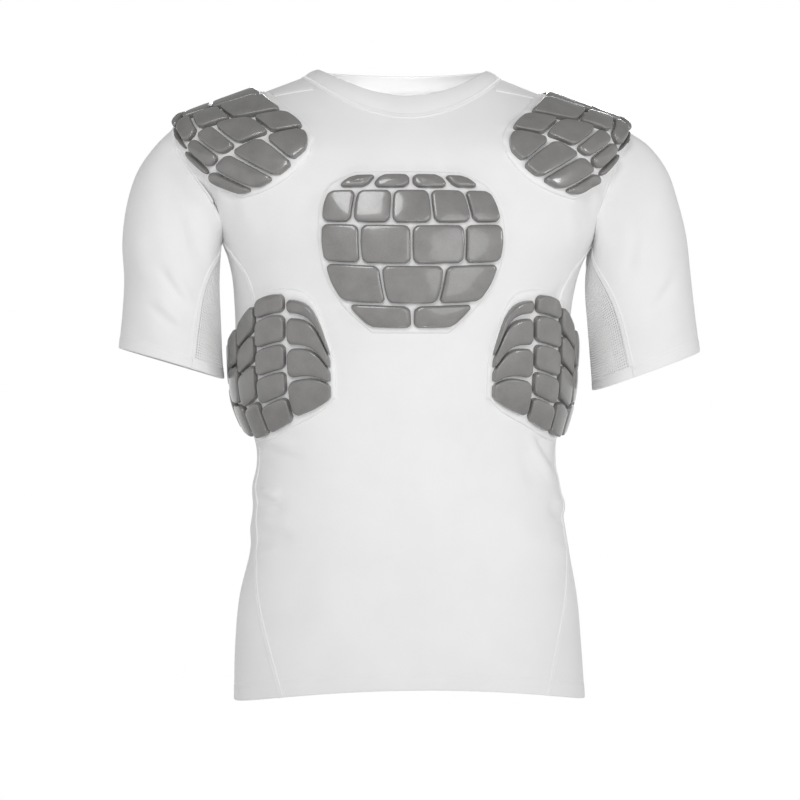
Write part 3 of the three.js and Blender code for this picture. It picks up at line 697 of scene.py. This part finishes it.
def round_sleeve(side, turn, ring):
    at = [smooth_value(SLEEVE_ROWS[side][:, i], ring) for i in range(6)]
    sine, outward = np.sin(2 * np.pi * turn), (1 + np.cos(2 * np.pi * turn)) / 2
    reach = np.where(sine > 0, at[4] - SLEEVE_MIDDLE_Y, SLEEVE_MIDDLE_Y - at[5])
    return np.stack([
        mix(at[2], at[0], outward),
        SLEEVE_MIDDLE_Y + sine * reach,
        mix(at[3], at[1], outward),
    ], axis=-1)


def sleeve_form(side, turn, ring):
    """The round sleeve, pulled to the armhole at its seam, and less and less along it."""
    turn, ring = np.broadcast_arrays(np.asarray(turn, float) % 1, np.asarray(ring, float))
    pull = body_form(*armhole_place(side, turn)) - round_sleeve(side, turn, 0 * ring)
    share = 1 - eased(ring / ARMHOLE_BLEND)
    return round_sleeve(side, turn, ring) + pull * share[..., None]


def sleeve_cloth(side, turn, ring, lift=0.0):
    """A point of the creased sleeve. At the armhole its wall lies in line with the body's."""
    turn, ring = np.broadcast_arrays(np.asarray(turn, float), np.asarray(ring, float))
    sign = -1 if side == "left" else 1

    def surface(a, b):
        return sleeve_form(side, a, np.clip(b, 0, None))

    points = surface(turn, ring)
    own = normals_of(surface, turn, ring, sign)
    body = normals_of(body_form, *armhole_place(side, turn % 1))
    normal = mix(body, own, eased(ring)[..., None])
    normal = normal / np.linalg.norm(normal, axis=-1, keepdims=True)
    creases = np.where(
        points[..., 1] < SLEEVE_MIDDLE_Y,
        crease_height(points, SLEEVE_CREASES),
        crease_height(points, SLEEVE_BACK_CREASES),
    )
    calm = np.clip(ring / 0.8, 0, 1)
    return points + normal * (creases * calm + lift)[..., None]


def cuff_wall(ring):
    past = np.clip((CUFF_HEM_RING - ring) / CUFF_HEM_STEP, 0, 1)
    return mix(HEM_WALL, CLOTH_WALL, past)


def cuff_swell(ring):
    proud = HEM_PROUD * (1 - np.clip((CUFF_HEM_RING - ring) / CUFF_HEM_STEP, 0, 1))
    groove = -HEM_GROOVE * np.exp(-(((ring - CUFF_HEM_RING - 0.02) / 0.03) ** 2))
    fold = -HEM_FOLD * np.clip(1 - (CUFF_RING - ring) / 0.05, 0, 1) ** 2
    return proud + groove + fold


SLEEVE_RINGS = np.concatenate([
    np.linspace(0.015, 6.5, 62),
    [6.58, 6.61, 6.64, 6.67, 6.7, 6.76, 6.83, 6.9, 6.95, 6.985, 7.0],
])


def sleeve_grid(side, first, last, columns):
    across = np.linspace(0, 1, columns)
    turns = mix(first[:, None], last[:, None], across[None, :])
    return turns, np.repeat(SLEEVE_RINGS[:, None], columns, 1)


def sleeve_piece(side):
    mesh_half = smooth_value(MESH_HALF_TURN, SLEEVE_RINGS)
    gap = SEAM_GAP / 2 / SLEEVE_GIRTH
    turns, rings = sleeve_grid(side, -0.5 + mesh_half + gap, 0.5 - mesh_half - gap, 84)
    swell = cuff_swell(rings)
    outer = sleeve_cloth(side, turns, rings, swell)
    inner = sleeve_cloth(side, turns, rings, swell - cuff_wall(rings))
    piece = sheet_piece("sleeve_" + side + "_cloth", outer, inner, knit, turned=side == "left")
    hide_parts("sleeve_" + side)
    return piece


sleeves = {side: sleeve_piece(side) for side in ("left", "right")}

# The underarm gussets, a long wedge of open mesh knit under each arm, from a point at the
# armpit to the cuff. Its round holes go right through, except along its seams and its hem.
MESH_PITCH = 2.7
MESH_HOLE = 1.75
MESH_WALL = 0.9
MESH_SINK = 0.15
MESH_STITCH = 0.9


def mesh_knit():
    paint = Paint("white_mesh_knit")
    height = stitches(paint, MESH_STITCH, MESH_STITCH)
    cloud = paint.noise(paint.place(), 30, 2)
    # The colour is partly random tone and partly painted shade, darker where the stitches lie low.
    tone = paint.sum("MULTIPLY_ADD", cloud, 0.5, paint.sum("MULTIPLY", height, 0.5))
    colour = paint.shades(tone, [(0.2, (0.86, 0.86, 0.86)), (0.8, (0.93, 0.93, 0.925))])
    paint.join(colour, paint.shader.inputs["Base Color"])
    paint.join(paint.relief(height, 0.0003, 0.6), paint.shader.inputs["Normal"])
    paint.shader.inputs["Roughness"].default_value = 0.78
    paint.shader.inputs["Sheen Weight"].default_value = 0.1
    return paint.material


def reach_along(points):
    """The way along a line of points, from its start to each of them."""
    return np.concatenate([[0], np.cumsum(np.linalg.norm(np.diff(points, axis=0), axis=1))])


def gusset_cells(side):
    """The mesh's cells: lowest share across, width, both rings, and whether it has a hole."""
    fine = np.linspace(0.02, CUFF_RING, 400)
    spine = sleeve_form(side, 0.5 + 0 * fine, fine)
    reach = reach_along(spine)
    count = int(reach[-1] / MESH_PITCH)
    rings = np.interp(np.linspace(0, reach[-1], count + 1), reach, fine)
    cells = []
    for lower, upper in zip(rings, rings[1:]):
        half = smooth_value(MESH_HALF_TURN, np.array([(lower + upper) / 2]))[0]
        arc = sleeve_form(side, np.linspace(0.5 - half, 0.5 + half, 24), (lower + upper) / 2)
        wide = np.linalg.norm(np.diff(arc, axis=0), axis=1).sum()
        across = max(2, round(wide / MESH_PITCH))
        for i in range(across):
            inside = 0 < i < across - 1 and upper < CUFF_HEM_RING - 0.04
            cells.append((i / across, 1 / across, lower, upper, inside))
    return np.array(cells, float)


def gusset_piece(side, material):
    """Every cell is a square of knit with an eight-sided hole, or with a lid in its place."""
    cells = gusset_cells(side)
    border = np.array([(0, 0), (0.5, 0), (1, 0), (1, 0.5), (1, 1), (0.5, 1), (0, 1), (0, 0.5)])
    spoke = (border - 0.5) / np.linalg.norm(border - 0.5, axis=1, keepdims=True)
    pattern = np.concatenate([border, 0.5 + spoke * MESH_HOLE / 2 / MESH_PITCH])
    a = cells[:, 0:1] + cells[:, 1:2] * pattern[None, :, 0]
    ring = mix(cells[:, 2:3], cells[:, 3:4], pattern[None, :, 1])
    half = smooth_value(MESH_HALF_TURN, ring) - SEAM_GAP / 2 / SLEEVE_GIRTH
    turn = 0.5 - half + 2 * half * a
    rise = cuff_swell(ring) - MESH_SINK
    thick = np.where(ring > CUFF_HEM_RING, HEM_WALL, MESH_WALL)
    outer = sleeve_cloth(side, turn, ring, rise).reshape(-1, 3)
    inner = sleeve_cloth(side, turn, ring, rise - thick).reshape(-1, 3)
    count = len(outer)
    start = np.arange(len(cells))[:, None] * 16
    has_hole = cells[:, 4] > 0
    k = np.arange(8)
    n = (k + 1) % 8
    around = np.stack([start + k, start + n, start + 8 + n, start + 8 + k], -1).reshape(-1, 4)
    holes = start[has_hole]
    walls = np.stack(
        [holes + 8 + k, holes + 8 + n, holes + 8 + n + count, holes + 8 + k + count], -1
    ).reshape(-1, 4)
    lid = np.array([(0, 1, 2, 3), (0, 3, 4, 7), (4, 5, 6, 7)]) + 8
    lids = (start[~has_hole][:, :, None] + lid[None]).reshape(-1, 4)
    rims = []
    last = cells[:, 3] == cells[:, 3].max()
    edges = [(last, 4), (last, 5), (cells[:, 0] == 0, 6), (cells[:, 0] == 0, 7)]
    right = cells[:, 0] + cells[:, 1] > 1 - 1e-6
    edges += [(right, 2), (right, 3)]
    for chosen, corner in edges:
        p = start[chosen][:, 0] + corner
        q = start[chosen][:, 0] + (corner + 1) % 8
        rims.append(np.stack([p, p + count, q + count, q], -1))
    faces = np.concatenate([
        around, around[:, ::-1] + count, walls, lids, lids[:, ::-1] + count, *rims
    ])
    if side == "left":
        faces = faces[:, ::-1]
    flat = np.stack([(a - 0.5) * 2 * half * SLEEVE_GIRTH, ring * 26], -1).reshape(-1, 2)
    name = "underarm_mesh_" + side
    points = np.concatenate([outer, inner])
    piece = new_piece(name + "_cloth", points, faces, np.concatenate([flat, flat]), [material])
    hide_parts(name)
    return piece


open_mesh = mesh_knit()
gussets = {side: gusset_piece(side, open_mesh) for side in ("left", "right")}

# The seams, sewn flat: the panels' edges meet and a cover thread zigzags over them between two
# rows of needle thread. The whole seam stands up as a narrow bright band. Hems have just the
# two needle rows outside.
SEAM_WIDTH = 6.6
SEAM_RISE = 0.75
STITCH = 2.6
NEEDLE_THREAD = 0.4
COVER_THREAD = 0.34
NEEDLE_ROW = 0.36
COVER_LIFTS = (0.42, 0.62)
NEEDLE_LIFTS = (0.28, 0.62)
HEM_NEEDLE_LIFTS = (-0.12, 0.22)
THREAD_STOPS = ((0.0, 0.6), (0.5, 1.0), (1.0, 0.6))
SEAM_PROFILE = [
    (-0.5, -0.875), (-0.46, 0.45), (-0.34, 1.05), (-0.15, 0.75), (0.0, 0.65),
    (0.15, 0.75), (0.34, 1.05), (0.46, 0.45), (0.5, -0.875),
]


def thread_white():
    """Bulky white thread, twisted from two plies, with painted shade in the grooves of the twist."""
    paint = Paint("white_thread")
    parts = paint.nodes.new("ShaderNodeSeparateXYZ")
    paint.join(paint.grain(), parts.inputs["Vector"])
    lean = paint.sum("MULTIPLY_ADD", parts.outputs["X"], 3.0, parts.outputs["Y"])
    twist = paint.sum("SINE", paint.sum("MULTIPLY", lean, 9.0))
    # The colour follows the twist's height: painted shade, darker in the grooves between the plies.
    tone = paint.sum("MULTIPLY_ADD", twist, 0.5, 0.5)
    colour = paint.shades(tone, [(0.0, (0.88, 0.88, 0.88)), (0.8, (0.95, 0.95, 0.945))])
    paint.join(colour, paint.shader.inputs["Base Color"])
    paint.join(paint.relief(tone, 0.0001, 0.5), paint.shader.inputs["Normal"])
    paint.shader.inputs["Roughness"].default_value = 0.5
    paint.shader.inputs["Sheen Weight"].default_value = 0.1
    return paint.material


def unit(vectors):
    return vectors / np.maximum(np.linalg.norm(vectors, axis=-1, keepdims=True), 1e-9)


def even_path(surface, first, second, pitch):
    """Evenly spaced points of a path over a surface, with its outward normals."""
    points = surface(first, second, 0.0)
    reach = reach_along(points)
    at = np.linspace(0, reach[-1], int(reach[-1] / pitch) + 1)
    a = np.interp(at, reach, first)
    b = np.interp(at, reach, second)
    middle = surface(a, b, 0.0)
    return middle, unit(surface(a, b, 1.0) - middle)


class FlatSeam:
    """One path of sewing: points at any step along it, offset across it and lift off it."""

    def __init__(self, middle, normal, left=None, right=None, reach=SEAM_WIDTH / 2):
        along = unit(np.gradient(middle, axis=0))
        side = unit(np.cross(normal, along))
        self.normal, self.middle = normal, middle
        self.left = (middle - side * reach if left is None else left)
        self.right = (middle + side * reach if right is None else right)
        self.reach = reach

    def point(self, step, offset, lift):
        step = np.clip(step, 0, len(self.middle) - 1)
        i = np.minimum(step.astype(int), len(self.middle) - 2)
        f = (step - i)[..., None]

        def at(line):
            return line[i] * (1 - f) + line[i + 1] * f

        share = offset / self.reach
        out = at(self.left) if share < 0 else at(self.right)
        return at(self.middle) + (out - at(self.middle)) * abs(share) + at(self.normal) * lift


def seam_ribbon(seam, width):
    """The band of covered edges: low at both sides, with a shallow dip between its rows."""
    steps = np.arange(len(seam.middle)).astype(float)
    lines = [seam.point(steps, share * width, lift * SEAM_RISE) for share, lift in SEAM_PROFILE]
    grid = np.stack(lines, 1)
    rows, columns = grid.shape[:2]
    i, j = (a.ravel() for a in np.meshgrid(np.arange(columns - 1), np.arange(rows - 1)))
    k = j * columns + i
    faces = np.stack([k, k + 1, k + columns + 1, k + columns], 1)
    return grid.reshape(-1, 3), faces, cloth_uv(grid).reshape(-1, 2)


def thread_runs(seam, steps, length, offsets, lifts, thick):
    """Short runs of thread between two offsets, thickest in their middle."""
    rings = []
    start = seam.point(steps, offsets[0], lifts[0])
    end = seam.point(steps + length, offsets[1], lifts[0])
    along = unit(end - start)
    normal = unit(seam.point(steps, offsets[0], 1.0) - seam.point(steps, offsets[0], 0.0))
    side = unit(np.cross(normal, along))
    for share, size in THREAD_STOPS:
        offset = mix(offsets[0], offsets[1], share)
        lift = lifts[1] if share == 0.5 else lifts[0]
        centre = seam.point(steps + length * share, offset, lift)
        for angle in (90, 210, 330):
            turn = math.radians(angle)
            rings.append(centre + (side * math.cos(turn) + normal * math.sin(turn)) * thick * size)
    points = np.stack(rings, 1)
    base = np.arange(len(points))[:, None] * 9
    pattern = [(r * 3 + k, r * 3 + (k + 1) % 3, r * 3 + 3 + (k + 1) % 3, r * 3 + 3 + k)
               for r in range(2) for k in range(3)]
    faces = (base[:, :, None] + np.array(pattern)[None]).reshape(-1, 4)
    uv = np.tile([[k * 0.3, r * 0.9] for r in range(3) for k in range(3)], (len(points), 1))
    return points.reshape(-1, 3), faces, uv


def joined(parts):
    """Points, faces and grain of several parts as one, and which material each face has."""
    starts = np.cumsum([0] + [len(part[0]) for part in parts])
    points = np.concatenate([part[0] for part in parts])
    faces = np.concatenate([part[1] + start for part, start in zip(parts, starts)])
    uv = np.concatenate([part[2] for part in parts])
    kinds = np.concatenate([np.full(len(part[1]), part[3]) for part in parts])
    return points, faces, uv, kinds


def sewing(name, seams, cover=True, width=SEAM_WIDTH):
    """One piece for like seams: ribbons where the edges are covered, and all their thread."""
    row = width * NEEDLE_ROW
    parts = []
    for seam in seams:
        steps = np.arange(len(seam.middle) - 1).astype(float)
        if cover:
            parts.append((*seam_ribbon(seam, width), 0))
            for start, way in ((0, (-row, row)), (0.5, (row, -row))):
                run = thread_runs(seam, steps + start, 0.5, way, COVER_LIFTS, COVER_THREAD)
                parts.append((*run, 1))
        lifts = NEEDLE_LIFTS if cover else HEM_NEEDLE_LIFTS
        for offset in (-row, row):
            run = thread_runs(seam, steps + 0.1, 0.8, (offset, offset), lifts, NEEDLE_THREAD)
            parts.append((*run, 1))
    points, faces, uv, kinds = joined(parts)
    piece = new_piece(name, points, faces, uv, [knit, sewing_thread], kinds, sharp=80)
    return piece


def body_seam(seam_line, first, last, sign=1):
    rows = np.linspace(first, last, 400)
    return FlatSeam(*even_path(body_cloth, sign * seam_line(rows), rows, STITCH))


def side_surface(side):
    return lambda turn, ring, lift: sleeve_cloth(side, turn, ring, lift)


def armhole_seam(side):
    """Round the armhole, half on the body's cloth and half on the sleeve's."""
    mesh_half = MESH_HALF_TURN[0]
    turns = np.linspace(-0.5 + mesh_half, 0.5 - mesh_half, 500)
    points = sleeve_cloth(side, turns, 0.0)
    reach = reach_along(points)
    at = np.linspace(0, reach[-1], int(reach[-1] / STITCH) + 1)
    turns = np.interp(at, reach, turns)
    middle = sleeve_cloth(side, turns, 0.0)
    normal = unit(sleeve_cloth(side, turns, 0.0, 1.0) - middle)
    outward = unit(np.cross(normal, unit(np.gradient(middle, axis=0))))
    far = sleeve_cloth(side, turns, 0.3)
    sign = np.sign((outward * (far - middle)).sum(-1, keepdims=True))
    on_body = middle - outward * sign * SEAM_WIDTH / 2
    on_sleeve = middle + unit(far - middle) * SEAM_WIDTH / 2
    return FlatSeam(middle, normal, on_body, on_sleeve)


def gusset_seam(side, edge):
    rings = np.linspace(0.02, CUFF_HEM_RING - 0.05, 300)
    turns = 0.5 + edge * smooth_value(MESH_HALF_TURN, rings)
    return FlatSeam(*even_path(side_surface(side), turns, rings, STITCH))


def ring_of_sewing(surface, first, second):
    return FlatSeam(*even_path(surface, first, second, STITCH + 0.2))


sewing_thread = thread_white()
side_seams = sewing("side_seams", [
    body_seam(line, 0.0, ARMPIT_ROW - 0.1, sign)
    for sign in (-1, 1) for line in (front_seam, back_seam)
])
shoulder_seams = sewing("shoulder_seams", [
    body_seam(front_seam, TIP_ROW + 0.05, COLLAR_ROW - 0.1, sign) for sign in (-1, 1)
])
armhole_seams = sewing("armhole_seams", [armhole_seam(side) for side in ("left", "right")])
gusset_seams = sewing("gusset_seams", [
    gusset_seam(side, edge) for side in ("left", "right") for edge in (-1, 1)
])
all_round = np.linspace(-2, 2, 1200)
collar_seam = sewing("collar_seam", [
    ring_of_sewing(collar_cloth, all_round, 0.03 + 0 * all_round)
])
hem_stitching = sewing("hem_stitching", [
    ring_of_sewing(lambda a, b, lift: body_cloth(a, b, lift + hem_swell(b)),
                   all_round, HEM_ROW - 0.02 + 0 * all_round)
], cover=False)
half_round = np.linspace(0, 1, 600)
cuff_stitching = sewing("cuff_stitching", [
    ring_of_sewing(lambda a, b, lift, s=side: sleeve_cloth(s, a, b, lift + cuff_swell(b)),
                   half_round, CUFF_HEM_RING + 0.03 + 0 * half_round)
    for side in ("left", "right")
], cover=False)

# The chest pad, a soft white base with a low rounded rim, which lies on the cloth and carries
# moulded grey pods. The pods have glossy rounded edges, slightly crowned tops, and narrow
# channels between them. Its outline and layout are plain and even-handed.
PAD_BASE_RISE = 3.2
PAD_RIM = 6.0
PAD_FINENESS = 4.5
POD_TOP = 10.6
POD_SINK = 1.2
POD_CORNER = 3.6
POD_BOW = 0.7
POD_CROWN = (0.25, 0.35)
CHANNEL = 3.6
PAD_MARGIN = 6.5
POD_PROFILE = [
    (0.0, 0.0), (-0.1, 0.25), (-0.05, 0.5), (0.1, 0.7), (0.35, 0.83), (0.8, 0.92),
    (1.4, 0.965), (2.3, 0.99), (3.6, 1.0),
]
CHEST_CHART = np.array([
    [-0.13, 7.5, 0, 7.5, 0.12, 7.5],
    [-0.23, 8.15, 0, 8.1, 0.22, 8.15],
    [-0.3, 8.95, 0, 8.9, 0.29, 8.95],
    [-0.31, 9.95, 0, 9.95, 0.3, 9.95],
    [-0.29, 11.4, 0, 11.4, 0.28, 11.4],
    [-0.23, 12.7, 0, 12.8, 0.22, 12.7],
    [-0.14, 13.55, 0, 13.65, 0.13, 13.55],
])
CHEST_STRIPS = [
    (0, 0.2, [0.5]),
    (0.2, 0.42, [0.34, 0.66]),
    (0.42, 0.62, [0.24, 0.5, 0.76]),
    (0.62, 0.81, [0.2, 0.4, 0.6, 0.8]),
    (0.81, 1, [0.27, 0.5, 0.73]),
]


def pad_base_white():
    """Soft white film-faced foam: smoother and a little brighter than the knit."""
    paint = Paint("white_pad_base")
    cloud = paint.noise(paint.place(), 60, 3)
    fine = paint.noise(paint.place(), 900, 2)
    colour = paint.shades(cloud, [(0.25, (0.82, 0.82, 0.82)), (0.75, (0.89, 0.89, 0.885))])
    paint.join(colour, paint.shader.inputs["Base Color"])
    soft = paint.relief(cloud, 0.0012, 0.3)
    paint.join(paint.relief(fine, 0.0002, 0.3, soft), paint.shader.inputs["Normal"])
    paint.shader.inputs["Roughness"].default_value = 0.6
    paint.shader.inputs["Specular IOR Level"].default_value = 0.4
    return paint.material


def pod_grey():
    """Moulded grey gel under a glossy skin: fine speckles, and painted shade darkening it towards the
    foot.
    """
    paint = Paint("grey_pod_skin")
    parts = paint.nodes.new("ShaderNodeSeparateXYZ")
    paint.join(paint.grain(), parts.inputs["Vector"])
    speck = paint.noise(paint.place(), 1500, 2)
    cloud = paint.noise(paint.place(), 55, 3)
    tone = paint.sum("MULTIPLY_ADD", speck, 0.45, paint.sum("MULTIPLY", cloud, 0.35))
    # Painted shadow at the foot: the colour darkens where the grain's second value, the lift share,
    # is low.
    foot = paint.sum("MINIMUM", paint.sum("MULTIPLY_ADD", parts.outputs["Y"], 1.7, 0.05), 1.0)
    speckle_and_foot_shade = paint.sum("MULTIPLY", tone, foot)
    colour = paint.shades(speckle_and_foot_shade, [
        (0.12, (0.1, 0.098, 0.096)), (0.3, (0.175, 0.172, 0.168)), (0.52, (0.235, 0.23, 0.226))
    ])
    paint.join(colour, paint.shader.inputs["Base Color"])
    soft = paint.relief(cloud, 0.0015, 0.25)
    paint.join(paint.relief(speck, 0.00012, 0.3, soft), paint.shader.inputs["Normal"])
    paint.shader.inputs["Roughness"].default_value = 0.26
    paint.shader.inputs["Coat Weight"].default_value = 0.6
    paint.shader.inputs["Coat Roughness"].default_value = 0.07
    return paint.material


def pad_point(chart, sign, across, along, lift):
    """A point over a pad's chart. Each chart row is an arc through its three places."""
    across, along = np.broadcast_arrays(np.asarray(across, float), np.asarray(along, float))
    at = [smooth_value(chart[:, i], along * (len(chart) - 1)) for i in range(6)]

    def arc(first, middle, last):
        bow = middle - (first + last) / 2
        return mix(first, last, across) + 4 * bow * across * (1 - across)

    return body_cloth(sign * arc(at[0], at[2], at[4]), arc(at[1], at[3], at[5]), lift)


def pad_base(chart, sign):
    """The base's grid: close columns in its rim, wider ones inside."""
    wide = reach_along(pad_point(chart, sign, np.linspace(0, 1, 60), 0.5, 0.0))[-1]
    tall = reach_along(pad_point(chart, sign, 0.5, np.linspace(0, 1, 90), 0.0))[-1]

    def shares(length):
        rim = np.array([0, 0.25, 0.6, 1.2, 2.0, 3.2, 4.6, PAD_RIM]) / length
        inside = np.linspace(rim[-1], 1 - rim[-1], int(length / PAD_FINENESS))[1:-1]
        return np.concatenate([rim, inside, 1 - rim[::-1]])

    a, b = np.meshgrid(shares(wide), shares(tall))
    local_wide = np.linalg.norm(
        pad_point(chart, sign, 1.0, b, 0.0) - pad_point(chart, sign, 0.0, b, 0.0), axis=-1
    )
    from_edge = np.minimum(np.minimum(a, 1 - a) * local_wide, np.minimum(b, 1 - b) * tall)
    near = 1 - np.clip(from_edge / PAD_RIM, 0, 1)
    outer = pad_point(chart, sign, a, b, 0.05 + PAD_BASE_RISE * np.sqrt(1 - near**2.2))
    inner = pad_point(chart, sign, a, b, 0.0)
    rows, columns = outer.shape[:2]
    faces = grid_faces(columns, rows, turned=sign < 0)
    uv = cloth_uv(outer).reshape(-1, 2)
    points = np.concatenate([outer.reshape(-1, 3), inner.reshape(-1, 3)])
    return points, faces, np.concatenate([uv, uv])


def moved_in(corners, insets):
    """A convex outline with each side moved in by its own distance."""
    count = len(corners)
    starts, ways = [], []
    for i in range(count):
        way = corners[(i + 1) % count] - corners[i]
        way = way / np.hypot(*way)
        starts.append(corners[i] + np.array([-way[1], way[0]]) * insets[i])
        ways.append(way)
    moved = []
    for i in range(count):
        apart = starts[i] - starts[i - 1]
        one, two = ways[i - 1], ways[i]
        t = (apart[0] * two[1] - apart[1] * two[0]) / (one[0] * two[1] - one[1] * two[0])
        moved.append(starts[i - 1] + one * t)
    return np.array(moved)


def rounded(corners, radius, bow):
    """Cuts the corners off, bows the sides out a little and softens what is left."""
    count = len(corners)
    line = []
    middle = corners.mean(0)
    for i in range(count):
        here, after = corners[i], corners[(i + 1) % count]
        long = np.hypot(*(after - here))
        cut = min(radius / long, 0.24)
        out = (here + after) / 2 - middle
        out = out / np.hypot(*out) * bow * min(long / 30, 1)
        for share in (cut, 2 * cut, 0.5, 1 - 2 * cut, 1 - cut):
            line.append(mix(here, after, share) + out * (1 - (2 * share - 1) ** 2))
    line = np.array(line)
    for _ in range(2):
        after = np.roll(line, -1, axis=0)
        line = np.stack([0.75 * line + 0.25 * after, 0.25 * line + 0.75 * after], 1).reshape(-1, 2)
    return line


def pod(chart, sign, cell):
    cell = np.array(cell, float)
    middle = cell.mean(0)
    origin = pad_point(chart, sign, *middle, 0.0)
    beside = pad_point(chart, sign, middle[0] + PROBE_STEP, middle[1], 0.0)
    above = pad_point(chart, sign, middle[0], middle[1] + PROBE_STEP, 0.0)
    across = (beside - origin) / PROBE_STEP
    along = (above - origin) / PROBE_STEP
    width = np.linalg.norm(across)
    skew = along @ across / width
    height = math.sqrt(along @ along - skew * skew)
    corners = cell - middle
    flat = np.stack([corners[:, 0] * width + corners[:, 1] * skew, corners[:, 1] * height], 1)

    def inset(outside):
        return PAD_MARGIN if outside else CHANNEL / 2

    outside = (cell[0][1] == 0, cell[1][0] == 1, cell[2][1] == 1, cell[3][0] == 0)
    flat = moved_in(flat, [inset(side) for side in outside])
    outline = rounded(flat, POD_CORNER, POD_BOW)
    centre = outline.mean(0)
    size = np.hypot(*(outline - centre).T).min()
    rings, lifts = [], []
    for inward, rise in POD_PROFILE:
        shrink = 1 - min(inward / size, 0.8)
        rings.append(centre + (outline - centre) * shrink)
        lifts.append(mix(PAD_BASE_RISE - POD_SINK, POD_TOP, rise))
    rings.append(centre + (outline - centre) * min(0.45, 1 - 6.0 / size if size > 8 else 0.3))
    lifts.append(POD_TOP + POD_CROWN[0])
    flat = np.concatenate([*rings, centre[None]])
    lift = np.concatenate([np.repeat(lifts, len(outline)), [POD_TOP + POD_CROWN[1]]])
    a = middle[0] + (flat[:, 0] - flat[:, 1] / height * skew) / width
    b = middle[1] + flat[:, 1] / height
    points = pad_point(chart, sign, a, b, lift)
    count, levels = len(outline), len(rings)
    k = np.arange(count)
    n = (k + 1) % count
    quads = [np.stack([k, n, n + count, k + count], 1) + level * count for level in range(levels - 1)]
    top = (levels - 1) * count
    even = np.arange(0, count, 2)
    lid = np.stack([top + even, top + even + 1, top + (even + 2) % count,
                    np.full(len(even), levels * count)], 1)
    faces = np.concatenate([*quads, lid])
    # The lift share, 0 at the foot and 1 at the top, goes into the grain to carry the pod skin's
    # painted shadow at the foot.
    share = (lift - lift.min()) / (lift.max() - lift.min())
    return points, faces[:, ::-1] if sign < 0 else faces, np.stack([flat[:, 0], share], 1)


def pad_piece(name, chart, strips, sign):
    """A pad's base and all its pods as one piece, which stands for the frame's solid."""
    parts = [(*pad_base(chart, sign), 0)]
    for low, high, cuts in strips:
        marks = [0, *cuts, 1]
        for left, right in zip(marks, marks[1:]):
            cell = [(left, low), (right, low), (right, high), (left, high)]
            parts.append((*pod(chart, sign, cell), 1))
    points, faces, uv, kinds = joined(parts)
    piece = new_piece(name + "_soft", points, faces, uv, [base_white, pod_skin], kinds, sharp=70)
    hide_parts(name)
    return piece


base_white = pad_base_white()
pod_skin = pod_grey()
chest_pad = pad_piece("chest_pad", CHEST_CHART, CHEST_STRIPS, 1)

# The shoulder pads, which run from the front of the shoulder over its ridge to the back. They
# are made as the chest pad is, with a front row of larger pods and smaller ones behind.
SHOULDER_CHART = np.array([
    [0.265, 14.6, 0.36, 12.95, 0.57, 12.05],
    [0.29, 15.75, 0.48, 13.85, 0.67, 12.5],
    [0.42, 16.85, 0.62, 14.7, 0.735, 13.4],
    [0.7, 17.35, 0.8, 15.45, 0.83, 14.4],
    [1, 17.42, 1, 16.1, 1, 15.12],
    [1.27, 17.35, 1.25, 16.1, 1.2, 14.95],
    [1.5, 17.05, 1.48, 15.9, 1.4, 14.75],
])
SHOULDER_STRIPS = [
    (0, 0.22, [0.26, 0.52, 0.77]),
    (0.22, 0.38, [0.2, 0.42, 0.6, 0.8]),
    (0.38, 0.53, [0.28, 0.52, 0.76]),
    (0.53, 0.7, [0.34, 0.68]),
    (0.7, 0.84, [0.3, 0.62]),
    (0.84, 1, [0.5]),
]
shoulder_pads = [
    pad_piece("shoulder_pad_" + side, SHOULDER_CHART, SHOULDER_STRIPS, sign)
    for side, sign in (("left", -1), ("right", 1))
]

# The rib pads, which run from the front of the ribs round the side to the back. They are made
# the same way, with large pods in front, small ones at the side and long ones behind.
RIB_CHART = np.array([
    [0.27, 6.85, 0.265, 6.45, 0.27, 6.0],
    [0.36, 8.35, 0.36, 7.0, 0.36, 5.68],
    [0.5, 8.6, 0.5, 7.0, 0.5, 5.43],
    [0.66, 8.35, 0.66, 6.8, 0.66, 5.2],
    [0.82, 7.75, 0.82, 6.45, 0.82, 5.14],
    [1, 7.37, 1, 6.35, 1, 5.33],
    [1.18, 7.27, 1.18, 6.33, 1.18, 5.4],
    [1.36, 7.15, 1.36, 6.3, 1.36, 5.47],
    [1.5, 6.9, 1.5, 6.28, 1.5, 5.65],
])
RIB_STRIPS = [
    (0, 0.23, [0.22, 0.46, 0.7]),
    (0.23, 0.37, [0.2, 0.42, 0.62, 0.8]),
    (0.37, 0.49, [0.28, 0.5, 0.75]),
    (0.49, 0.6, [0.38, 0.7]),
    (0.6, 0.71, [0.54]),
    (0.71, 0.84, [0.45]),
    (0.84, 1, [0.5]),
]
rib_pads = [
    pad_piece("rib_pad_" + side, RIB_CHART, RIB_STRIPS, sign)
    for side, sign in (("left", -1), ("right", 1))
]

bpy.context.view_layer.update()
